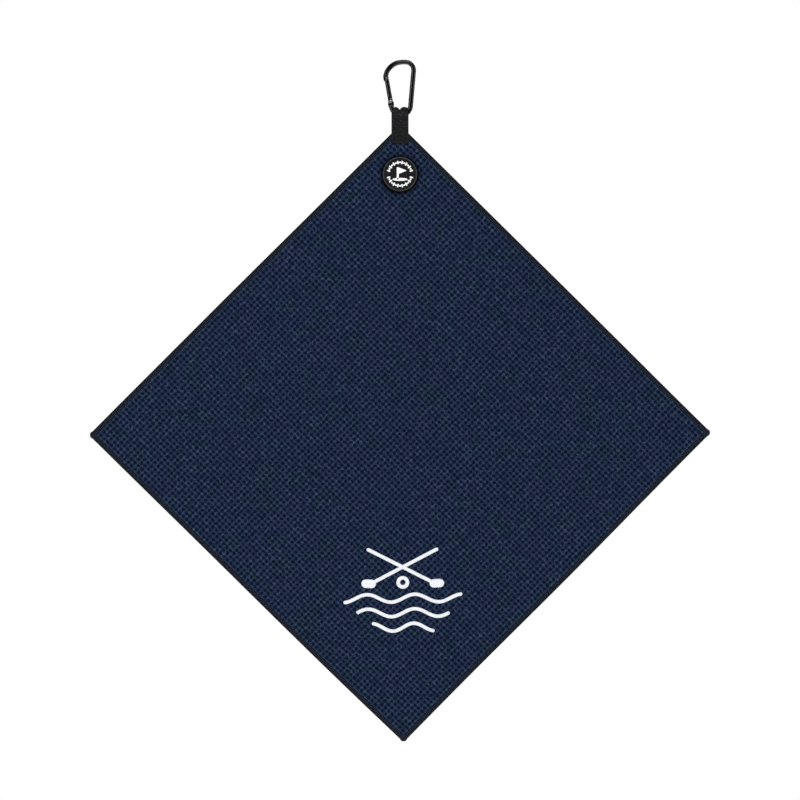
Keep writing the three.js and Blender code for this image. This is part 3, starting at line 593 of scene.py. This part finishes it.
# the lip runs on past the nose outside the gate, thinning to its end
t = np.linspace(0, 1, 14)
lipPath = onGate(np.stack([
    -rod["radius"] + 0.45 - rod["lipProud"] * np.sin(np.pi * np.clip(t * 0.75, 0, 1)), 0 * t,
    gateLength + 1.6 - (rod["lipLength"] + 1.6) * t,
], 1))
lipWide, lipHigh = 0.75 * np.sqrt(1 - t ** 6 * 0.85), 1.25 * np.sqrt(1 - t ** 4 * 0.8)
lipPiece = tubes(lipPath, (0, 1, 0), circle(1, 14), lipWide, lipHigh)
a = np.linspace(0, np.pi, 20)
tongueOutline = np.concatenate([
    [[hinge["shoulder"], -3.5], [hinge["shoulder"], -0.9], [hinge["shoulder"] - 0.5, -0.45]],
    np.stack([hinge["eye"] * np.cos(a), hinge["eye"] * np.sin(a)], 1),
    [[0.5 - hinge["shoulder"], -0.45], [-hinge["shoulder"], -0.9], [-hinge["shoulder"], -3.5]],
])
tonguePiece = plate(tongueOutline, 0, hinge["tongueHalf"])
place("carabiner-frame", joined([rodPiece, lipPiece, tonguePiece]), anodised, "carabiner", ["carabiner_frame"])

# the gate: a turned bar, flat ended, with two ears either side of the tongue
r = hinge["gateRadius"]
barProfile = [
    [0, hinge["forkTop"]], [r - 0.1, hinge["forkTop"]], [r, hinge["forkTop"] + 0.12], [r, 8.0], [r, 14.0],
    [r, gateLength - 5.0], [r, gateLength - 0.85], [r - 0.4, gateLength - 0.4], [0, gateLength - 0.4],
]
bar = turned(barProfile, 32, (0, 0, 0))
bar = (onGate(bar[0][:, [0, 2, 1]]), bar[1], bar[2])
earTop = hinge["forkTop"] + 0.2
earOutline = np.concatenate([[[-r, earTop]], np.stack([-r * np.cos(a), -r * np.sin(a)], 1), [[r, earTop]]])
gatePieces = [(bar[0], outward(bar[0], bar[1]), bar[2])]
gatePieces += [plate(earOutline, side * hinge["earOffset"], hinge["earHalf"]) for side in (-1, 1)]
place("gate-bar", joined(gatePieces), anodised, "gate", ["gate_bar"])

rivet = {"reach": 2.3, "shank": 0.8, "head": 1.45, "dome": 0.6}
a = np.linspace(0, math.pi / 2, 9)
dome = np.stack([rivet["head"] * np.sin(a), -rivet["reach"] - rivet["dome"] * np.cos(a)], 1)
rivetProfile = np.concatenate([dome, [[rivet["shank"], -rivet["reach"]], [rivet["shank"], rivet["reach"]]],
                               (dome * (1, -1))[::-1]])
place("gate-rivet", turned(rivetProfile, 32, pivot), bareSteel, "carabiner", ["gate_rivet"])
print("carabiner ready")

# strap: one tape folded over the carabiner's bend and stitched down over the towel's corner
webbing = {
    "width": 15.9, "thickness": 1.2, "columns": 40, "seamRise": 2.4, "rodGap": 0.25, "overWidth": 12.6,
    "overShift": 0.3, "notch": 2.5, "notchX": -0.3, "notchWidth": 1.7, "layerGap": 0.06, "tailSpread": 1.47,
    "over": 0.4,        # |t| up to which the loop bends round the rod
    "sideRise": 1.2,    # where it leaves the rod, above the rod's middle
    "topRise": 3.9,     # the gathered top, above the rod, before it dips
}


# Side view along t from -1 (front seam) over the rod (0) to 1 (back seam): y = out sin(pi t / 2k) over the
# rod and eases in below it; z = side + (top - side) cos(pi t / 2k). Across, the width goes from full to the
# gathered one, and the tape dips near its middle by notch exp(-((x - x0) / w)^2).
def makeLoop():
    s = webbing
    out = rod["radius"] + s["rodGap"] + s["thickness"] / 2
    foot = s["thickness"] / 2 + s["layerGap"] / 2
    seamZ = bendZ + s["seamRise"]
    rodTopZ = bendCentreZ - rod["bendRadius"] + rod["radius"]
    sideZ = bendCentreZ - rod["bendRadius"] + s["sideRise"]
    t = np.linspace(-1, 1, 121)
    over = np.abs(t) < s["over"]
    climb = np.clip((1 - np.abs(t)) / (1 - s["over"]), 0, 1)
    turn = np.pi / 2 * t / s["over"]
    y = np.where(over, out * np.sin(np.abs(turn)), foot + (out - foot) * smoothStep(climb * 1.3))
    y = y * np.where(t < 0, -1, 1)
    topZ = rodTopZ + s["rodGap"] + s["thickness"] / 2 + s["topRise"]
    z = np.where(over, sideZ + (topZ - sideZ) * np.cos(turn), seamZ + (sideZ - seamZ) * climb)
    x = np.linspace(-1, 1, s["columns"] + 1)
    gather = smoothStep((0.46 - np.abs(t)) / 0.3)[:, None]
    width = 1 - (1 - s["overWidth"] / s["width"]) * gather
    xs = x * s["width"] / 2 * width + s["overShift"] * gather
    dip = s["notch"] * np.exp(-(((xs - s["notchX"]) / s["notchWidth"]) ** 2)) + 0.9 * np.abs(x) ** 8
    zs = z[:, None] - dip * gather + 0.1 * np.sin(5 * np.pi * x) * gather
    ys = y[:, None] * (1 - 0.04 * gather * np.cos(4 * np.pi * x)) + 0 * x
    middle = np.stack([xs, ys, zs], -1)
    normal = np.cross(np.gradient(middle, axis=0), np.gradient(middle, axis=1))
    normal /= np.linalg.norm(normal, axis=-1, keepdims=True)
    length = np.cumsum(np.hypot(np.diff(y, prepend=y[0]), np.diff(z, prepend=z[0])))
    uv = np.stack(np.broadcast_arrays(x * s["width"] / 2, length[:, None] - length[0]), -1)
    return slab(middle, normal, s["thickness"] / 2, uv)


# two flat layers: y = +-(foot + spread smoothstep((bend - 0.3 - z) / 5)), with the towel's corner between them
def makeTail():
    s = webbing
    z = np.linspace(bendZ + s["seamRise"], tailBox[0, 2], 60)[:, None]
    x = np.linspace(-1, 1, s["columns"] + 1)[None, :] * s["width"] / 2
    foot = s["thickness"] / 2 + s["layerGap"] / 2
    layers = []
    for side in (-1, 1):
        y = side * (foot + s["tailSpread"] * smoothStep((bendZ - 0.3 - z) / 5))
        middle = np.stack(np.broadcast_arrays(x, y, z), -1)
        uv = np.stack(np.broadcast_arrays(x, -z), -1)
        layers.append(slab(middle, np.array([0.0, -1.0, 0.0]), s["thickness"] / 2, uv))
    return joined(layers)


loopObject = place("webbing-loop", makeLoop(), webbingTape, None, ["webbing_loop"])
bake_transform(loopObject)
tailObject = place("webbing-tail", makeTail(), webbingTape, None, ["webbing_tail"])
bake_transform(tailObject)

stitching = {"radius": 0.24, "pitch": 2.5, "inset": 2.2, "top": 5.5, "lift": 0.2}


# stitches along straight runs: each is y = surface + lift sin(pi t), tapering into the tape at both ends
def makeStitches(side):
    s = stitching
    halfX = webbing["width"] / 2 - s["inset"]
    low, high = tailBox[0, 2] + s["inset"], bendZ - s["top"]
    corners = np.array([(-halfX, low), (halfX, low), (halfX, high), (-halfX, high)])
    runs = [(corners[k], corners[(k + 1) % 4], 1.0) for k in range(4)]
    runs += [(corners[0], corners[2], 1.0), (corners[3], corners[1], 1.7)]
    t = np.linspace(0.06, 0.94, 7)
    surface = webbing["thickness"] + webbing["layerGap"] / 2 + webbing["tailSpread"]
    pieces = []
    for start, end, height in runs:
        count = round(float(np.linalg.norm(end - start)) / s["pitch"])
        along = (np.arange(count)[:, None] + t[None, :]) / count
        flat = start + along[..., None] * (end - start)
        y = np.broadcast_to(side * (surface + 0.02 + s["lift"] * height * np.sin(np.pi * t)), along.shape)
        paths = np.stack([flat[..., 0], y, flat[..., 1]], -1)
        pieces.append(tubes(paths, (0, 1, 0), circle(s["radius"], 8), np.sqrt(1 - 0.85 * (2 * t - 1) ** 6)))
    return joined(pieces)


for name, side in (("front", -1), ("back", 1)):
    place("strap-stitch-" + name, makeStitches(side), sewingThread, "towel", ["strap_stitch_" + name])
print("strap ready")


# towel
# y = drape +- (half thickness - depth |sin(pi p)| |sin(pi q)|) on a grid of half cells, with the pits fading
# out at the hem
def makeCloth():
    s = towel
    margin = 1.2
    p = np.linspace(0, s["cells"][0], 2 * s["cells"][0] + 1)
    q = np.linspace(0, s["cells"][1], 2 * s["cells"][1] + 1)
    right = margin + (s["side"] - 2 * margin) * p[:, None] / s["cells"][0]
    left = margin + (s["side"] - 2 * margin) * q[None, :] / s["cells"][1]
    x = (right - left) * math.sqrt(0.5)
    z = apexZ - (right + left) * math.sqrt(0.5)
    pit = np.abs(np.sin(np.pi * p[:, None]) * np.sin(np.pi * q[None, :]))
    edge = np.minimum(np.minimum(right, s["side"] - right), np.minimum(left, s["side"] - left))
    depth = s["pitDepth"] * pit * (0.85 + 0.3 * rng.random(pit.shape)) * smoothStep((edge - 3.8) / 2.5)
    half = s["halfThickness"] - depth
    x = x + 0.1 * rng.standard_normal(pit.shape)
    uv = np.stack(np.broadcast_arrays(p[:, None], q[None, :]), -1)
    return slab(hang(x, 0, z), np.array([0.0, -1.0, 0.0]), half[..., None], uv)


clothObject = place("towel-cloth", makeCloth(), waffleCloth, "towel", ["towel_cloth"])
print("cloth ready")

hem = {
    "width": 4.3, "steps": 220, "pitch": 1.7, "thread": 0.27, "slant": 1.5, "edgeCord": 0.6,
    "reach": 1.6,             # each end's distance from the corner
    "strapReach": 3.0,        # the same at the top corner, inside the strap
    "loops": (3.5, 1.0),      # how far in from the edge the looper threads start and end
    "needleRow": 3.45,
}


# a flat point measured along edge k, which runs clockwise from corner k, and inwards from it
def onEdge(edge, along, inward, y):
    a = math.radians(90 - 90 * edge)
    corner = halfDiagonal * np.array([math.cos(a), math.sin(a)])
    ahead = halfDiagonal * np.array([math.sin(a), -math.cos(a)])
    along, inward, y = np.broadcast_arrays(along, inward, y)
    way = (ahead - corner) / np.linalg.norm(ahead - corner)
    inside = -(ahead + corner) / np.linalg.norm(ahead + corner)
    flat = corner + along[..., None] * way + inward[..., None] * inside
    return hang(flat[..., 0], y, centreZ + flat[..., 1]), np.array([way[0], 0, way[1]])


# where along an edge its hem starts and ends
def edgeSpan(edge):
    start = hem["strapReach"] if edge == 0 else hem["reach"]
    return start, towel["side"] - (hem["strapReach"] if edge == 3 else hem["reach"])


# the bed: a flat-sided channel round the cloth's edge, its section swept along the edge
def makeBed(edge):
    w = hem["width"]
    front = np.array([[w, -1.2], [w - 0.05, -1.45], [3.4, -1.62], [1.6, -1.62], [0.7, -1.4], [0.3, -0.8]])
    section = np.concatenate([front, [[0.22, 0.0]], (front * (1, -1))[::-1]])
    start, end = edgeSpan(edge)
    run = np.linspace(start, end, hem["steps"])[:, None]
    mitre = section[None, :, 0] * np.linspace(1, -1, hem["steps"])[:, None] ** 15
    points = onEdge(edge, run + mitre, section[None, :, 0], section[None, :, 1])[0].reshape(-1, 3)
    m = len(section)
    caps = [np.arange(m)[::-1][None], np.arange((hem["steps"] - 1) * m, hem["steps"] * m)[None]]
    uv = np.stack(np.broadcast_arrays(run, section[None, :, 0]), -1).reshape(-1, 2)
    return points, outward(points, [gridQuads(hem["steps"], m, wrapCols=True)] + caps), uv


# the threads: on each face slanting loops from the needle row out to the edge, with along = middle + slant
# (t - 0.5), and the needle row's short stitches, which lift as cos(pi n) about the middle of each
def makeLoops(edge):
    s = hem
    start, end = edgeSpan(edge)
    count = int((end - start - 1.0) / s["pitch"])
    middle = (start + 0.5 + (end - start - 1.0) * (np.arange(count) + 0.5) / count)[:, None]
    middle = middle + 0.12 * rng.standard_normal(middle.shape)
    t = np.linspace(0, 1, 7)
    needle = np.linspace(-0.44, 0.44, 5)
    pieces = []
    for side in (-1, 1):
        inward = s["loops"][0] + (s["loops"][1] - s["loops"][0]) * t
        y = side * (1.66 + 0.16 * np.sin(np.pi * t) - 0.25 * t ** 4)
        paths, way = onEdge(edge, middle + s["slant"] * (t - 0.5) + 0 * t, inward, y)
        pieces.append(tubes(paths, way, circle(s["thread"], 6)))
        y = side * (1.5 + 0.24 * np.cos(np.pi * needle))
        paths, way = onEdge(edge, middle + s["pitch"] * needle, s["needleRow"], y)
        pieces.append(tubes(paths, (0, 1, 0), circle(s["thread"] * 0.85, 6)))
    return joined(pieces)


# the looper's cord along the very edge: radius r (1 + 0.14 cos(2 pi s / pitch)), half as thick again
# front to back, about a line just inside it
def makeEdgeCord(edge):
    s = hem
    start, end = edgeSpan(edge)
    run = np.linspace(start, end, int((end - start) / 0.7))
    path = onEdge(edge, run, 0.3, 0.0)[0]
    bead = s["edgeCord"] * (1 + 0.14 * np.cos(2 * np.pi * run / s["pitch"]))
    return tubes(path, (0, 1, 0), circle(1, 8), bead, 1.5 * bead)


hemObjects = []
for edge, name in enumerate(("upper_right", "lower_right", "lower_left", "upper_left")):
    title = "hem-" + name.replace("_", "-")
    hemObjects.append(place(title, makeBed(edge), hemBed, "towel", ["hem_" + name]))
    loops = place(title + "-loops", makeLoops(edge), overlockThread, "towel")
    cord = place(title + "-cord", makeEdgeCord(edge), edgeThread, "towel")
    hemObjects += [loops, cord]
print("hems ready")


nub = {"radius": 3.5, "inset": 2.85, "flatness": 0.7, "winds": 8, "relief": 0.05, "rings": 28, "sides": 48}


# thread wound at a corner: r = R (1 + relief cos(winds a + 5 b) sin b) over a ball, flattened front to back
def makeNub(corner):
    s = nub
    angle = math.radians(90 - 90 * corner)
    out = np.array([math.cos(angle), math.sin(angle)]) * (halfDiagonal - s["inset"] * math.sqrt(2))
    rings, sides = s["rings"], s["sides"]
    b = np.linspace(0, np.pi, rings)[:, None]
    a = np.linspace(0, 2 * np.pi, sides, endpoint=False)[None, :]
    r = s["radius"] * (1 + s["relief"] * np.cos(s["winds"] * a + 5 * b) * np.sin(b))
    centre = hang(out[0], 0, centreZ + out[1])
    ball = np.stack([r * np.sin(b) * np.cos(a), s["flatness"] * r * np.sin(b) * np.sin(a), r * np.cos(b)], -1)
    points = np.concatenate([ball[1:-1].reshape(-1, 3), ball[[0, -1], 0]]) + centre
    j = np.arange(sides)
    tip, low = (rings - 2) * sides, (rings - 3) * sides
    top = np.stack([np.full(sides, tip), (j + 1) % sides, j], 1)
    bottom = np.stack([np.full(sides, tip + 1), low + j, low + (j + 1) % sides], 1)
    uv = np.stack(np.broadcast_arrays(2 * a + 0 * b, 2 * b), -1)[1:-1].reshape(-1, 2)
    faces = [gridQuads(rings - 2, sides, wrapCols=True), top, bottom]
    return points, outward(points, faces), np.concatenate([uv, uv[:2]])


nubs = [
    place("corner-nub-" + name, makeNub(corner), nubThread, "towel", ["corner_nub_" + name])
    for corner, name in ((1, "right"), (2, "bottom"), (3, "left"))
]
print("corner nubs ready")

# badge: a soft PVC disc held by a magnet, with a flag on a green in a ring of plain ticks
faceY, seatY = capBox[0, 1] + 0.6, capBox[1, 1]
badge = {
    "centre": (0.0, 0.0, badgeZ), "sides": 128, "markInner": 9.4, "markOuter": 12.4,
    "marks": 15, "markArc": 148.0, "markWidth": 1.2, "raise": 0.5,
}
capProfile = [
    [0, faceY], [6, faceY], [12.8, faceY], [14.55, faceY], [14.85, faceY - 0.12], [15.05, faceY - 0.42],
    [15.25, faceY - 0.55], [15.5, faceY - 0.55], [15.7, faceY - 0.4], [15.85, faceY], [16.0, faceY + 0.35],
    [16.2, faceY + 0.8], [16.2, seatY - 0.5], [16.0, seatY - 0.1], [15.6, seatY], [8, seatY], [0, seatY],
]
frontCap = turned(capProfile, badge["sides"], badge["centre"])
place("badge-front-cap", frontCap, blackRubber, "towel", ["badge_front_cap"])
nearY, farY = backCapBox[0, 1], backCapBox[1, 1]
backProfile = [
    [0, nearY], [8, nearY], [14, nearY], [14.4, nearY + 0.2], [14.5, nearY + 0.6], [14.5, farY - 0.8],
    [14.35, farY - 0.3], [13.9, farY], [12.6, farY], [12.4, farY - 0.25], [11.9, farY - 0.25], [11.7, farY],
    [6, farY], [0, farY],
]
backCap = turned(backProfile, badge["sides"], badge["centre"])
place("badge-back-cap", backCap, blackRubber, "towel", ["badge_back_cap"])
tops = (faceY - badge["raise"], faceY + 0.1)
a = np.linspace(0, 2 * np.pi, 56, endpoint=False)
pole = [(-3, -5.2), (-1.2, -5.2), (-1.2, 6.2), (-3, 6.2)]
pennant = [(-1.3, 0.2), (6.2, 3.2), (-1.3, 6.2)]
green = np.stack([7 * np.cos(a), -4.9 + 1.35 * np.sin(a)], 1)
place("badge-emblem", joined([raised(shape, *tops, badge["centre"]) for shape in (pole, pennant, green)]),
      whiteRubber, "towel", ["badge_emblem"], smooth=False)

markMiddle = (badge["markInner"] + badge["markOuter"]) / 2
markReach = (badge["markOuter"] - badge["markInner"]) / 2
half = badge["markWidth"] / 2
for name, middleAngle in (("upper", 90), ("lower", 270)):
    angles = np.radians(middleAngle + badge["markArc"] * np.linspace(-0.5, 0.5, badge["marks"]))
    pieces = []
    for k, angle in enumerate(angles):
        reach = markReach if k % 2 == 0 else markReach / 2
        u = np.array([-reach, reach, reach, -reach]) + markMiddle
        v = np.array([-half, -half, half, half])
        cos, sin = math.cos(angle), math.sin(angle)
        tick = np.stack([u * cos - v * sin, u * sin + v * cos], 1)
        pieces.append(raised(tick, *tops, badge["centre"], 0.1))
    sweep = np.linspace(angles[0], angles[-1], 60)
    rim = np.stack([np.cos(sweep), np.sin(sweep)], 1)
    band = np.concatenate([(markMiddle + 0.25) * rim, (markMiddle - 0.25) * rim[::-1]])
    pieces.append(raised(band, tops[0] + 0.2, tops[1], badge["centre"], 0.05))
    place("badge-marks-" + name, joined(pieces), whiteRubber, "towel", ["badge_marks_" + name], smooth=False)
print("badge ready")

# embroidery: satin stitch over the cloth, with the bobbin side behind
embroidery = {
    "centre": (1.55, apexZ - 432.6), "width": 3.4, "dome": 0.8, "bobbinWidth": 2.2,
    "bobbinDome": 0.4, "thread": 0.85, "spacing": 0.25, "headWidth": 8.2, "waveHeight": 3.6,
    "shaft": ((-33.0, 38.6), (27.0, 7.5)), "head": ((24.8, 5.9), (38.2, 6.5)), "overlap": 0.3,
    "ballRadius": 4.2, "ballZ": 7.2, "ballWidth": 3.6,
    "waves": (("upper", -7.5, 110.0, 2.5), ("middle", -21.0, 86.0, 2.0), ("lower", -34.5, 58.0, 1.5)),
}


# a stroke in (x, z): half width w and height d (1 - u^2)^0.4, both rounded off over the last half width,
# with a fine ripple where the threads lie side by side
def satin(line, width, dome, side, lift=0.0, closed=False):
    u = np.linspace(-1, 1, 13)
    profile = np.concatenate([
        np.stack([u, np.clip(1 - u ** 2, 0, 1) ** 0.4], 1), np.stack([u[::-1][1:-1], np.full(11, -0.3)], 1),
    ])
    n, m = len(line), len(profile)
    step = np.roll(line, -1, 0) - np.roll(line, 1, 0) if closed else np.gradient(line, axis=0)
    step /= np.linalg.norm(step, axis=1, keepdims=True)
    across = np.stack([-step[:, 1], step[:, 0]], 1)
    length = np.cumsum(np.linalg.norm(np.diff(line, axis=0, prepend=line[:1]), axis=1))
    ends = np.minimum(length, length[-1] - length) / (width / 2)
    rounding = np.ones(n) if closed else np.sqrt(np.clip(1 - (1 - np.clip(ends, 0, 1)) ** 2, 0.03, 1))
    ripple = 1 + 0.07 * np.sin(2 * np.pi * length / embroidery["thread"])
    half = width / 2 * rounding * (1 + 0.02 * rng.standard_normal(n))
    flat = line[:, None] + profile[None, :, :1] * half[:, None, None] * across[:, None]
    height = dome * profile[None, :, 1] * (rounding * ripple)[:, None]
    y = side * (towel["halfThickness"] - 0.1 + lift + height)
    x, z = flat[..., 0] + embroidery["centre"][0], flat[..., 1] + embroidery["centre"][1]
    points = hang(x, y, z).reshape(-1, 3)
    faces = [gridQuads(n, m, wrapRows=closed, wrapCols=True)]
    if not closed:
        faces += [np.arange(m)[::-1][None], np.arange((n - 1) * m, n * m)[None]]
    uv = np.stack(np.broadcast_arrays(length[:, None], profile[None, :, 0] * 0.5), -1).reshape(-1, 2)
    return points, outward(points, faces), uv


# evenly spaced points from one end to the other, mirrored for the other hand
def straight(ends, hand):
    (x0, z0), (x1, z1) = ends
    count = int(math.hypot(x1 - x0, z1 - z0) / embroidery["spacing"])
    return np.stack([np.linspace(hand * x0, hand * x1, count), np.linspace(z0, z1, count)], 1)


for suffix, side, width, dome in (("", -1, embroidery["width"], embroidery["dome"]),
                                  ("_bobbin", 1, embroidery["bobbinWidth"], embroidery["bobbinDome"])):
    slim = embroidery["width"] - width
    clubs = []
    for hand in (-1, 1):
        shaft, head = straight(embroidery["shaft"], hand), straight(embroidery["head"], hand)
        clubs.append(satin(shaft, width, dome, side, embroidery["overlap"] if hand > 0 else 0.0))
        clubs.append(satin(head, embroidery["headWidth"] - slim, dome * 1.2, side))
    a = np.linspace(0, 2 * np.pi, 110, endpoint=False)
    ring = embroidery["ballRadius"] * np.stack([np.cos(a), np.sin(a)], 1) + (0, embroidery["ballZ"])
    ball = satin(ring, embroidery["ballWidth"] - slim, dome, side, closed=True)
    strokes = {"clubs": joined(clubs), "ball": ball}
    for level, z, length, swells in embroidery["waves"]:
        t = np.linspace(0, 1, int(length / embroidery["spacing"]))
        swing = embroidery["waveHeight"] * np.sin(2 * np.pi * swells * (t - 0.5))
        wave = np.stack([length * (t - 0.5), z + swing], 1)
        strokes["wave_" + level] = satin(wave, width, dome, side)
    for key, piece in strokes.items():
        title = ("embroidery-" + key + suffix).replace("_", "-")
        place(title, piece, satinThread, "towel", ["embroidery_" + key + suffix])
print("embroidery ready")

# CAD pieces that stay as they are
carriedOver = {
    "gate_latch_pin": bareSteel, "gate_plunger": springSteel, "gate_spring": springSteel,
    "badge_magnet": nickel, "badge_post": blackRubber,
}
for name, finish in carriedOver.items():
    kept = bpy.data.objects[name]
    kept.data.materials.clear()
    kept.data.materials.append(finish)

side = towel["side"] / 1000

# studio: white surround, a pale floor well below, soft boxes that draw long highlights on the rod
studio = {"floorZ": -1250.0, "floorHalf": 1200.0, "ambient": 0.7, "mirrored": 0.04, "floorGlow": 0.3}
h, z = studio["floorHalf"], studio["floorZ"]
floorMaterial, floorTree, floorShader = startMaterial("pale matt floor", {
    "Roughness": 0.9, "Emission Color": "#ffffff", "Emission Strength": studio["floorGlow"],
})
floorPatches = noise(floorTree, addNode(floorTree, "TexCoord").outputs["Object"], 4.0, 2.0)
floorTone = mixColours(floorTree, floorPatches, "#f1f1f0", "#f6f6f5")
floorTree.links.new(floorTone, floorShader.inputs["Base Color"])
corners = np.array([(-h, -h, z), (h, -h, z), (h, h, z), (-h, h, z)], dtype=float)
floor = place("floor", (corners, [np.arange(4)[None]], corners[:, :2]), floorMaterial, smooth=False)

world = bpy.data.worlds.new("white surround")
world.use_nodes = True
bpy.context.scene.world = world
tree = world.node_tree
rays = addNode(tree, "LightPath")
dim = addNode(tree, "Mix", {"data_type": "FLOAT", 2: studio["ambient"], 3: studio["mirrored"]},
              {0: rays.outputs["Is Glossy Ray"]})
seen = addNode(tree, "Mix", {"data_type": "FLOAT", 3: 1.0},
               {0: rays.outputs["Is Camera Ray"], 2: dim.outputs[0]})
tree.nodes["Background"].inputs["Color"].default_value = (1.0, 1.0, 1.0, 1.0)
tree.links.new(seen.outputs[0], tree.nodes["Background"].inputs["Strength"])

softBoxes = (
    ("left strip", (-1.5, -1.2, 0.0), (0.3, 2.2), 14.0),
    ("front top", (0.3, -1.9, 1.5), (1.4, 0.8), 20.0),
    ("right strip", (1.6, -0.5, -0.1), (0.25, 1.8), 7.0),
    ("back", (0.5, 1.8, 0.9), (1.4, 1.2), 28.0),
)
for name, spot, size, power in softBoxes:
    data = bpy.data.lights.new(name, "AREA")
    data.shape = "RECTANGLE"
    data.size, data.size_y = size
    data.energy = power
    light = bpy.data.objects.new(name, data)
    light.location = spot
    light.rotation_euler = (Vector((0, 0, -0.3)) - Vector(spot)).to_track_quat("-Z", "Y").to_euler()
    bpy.context.scene.collection.objects.link(light)
bpy.context.scene.view_settings.view_transform = "Standard"
print("studio ready")
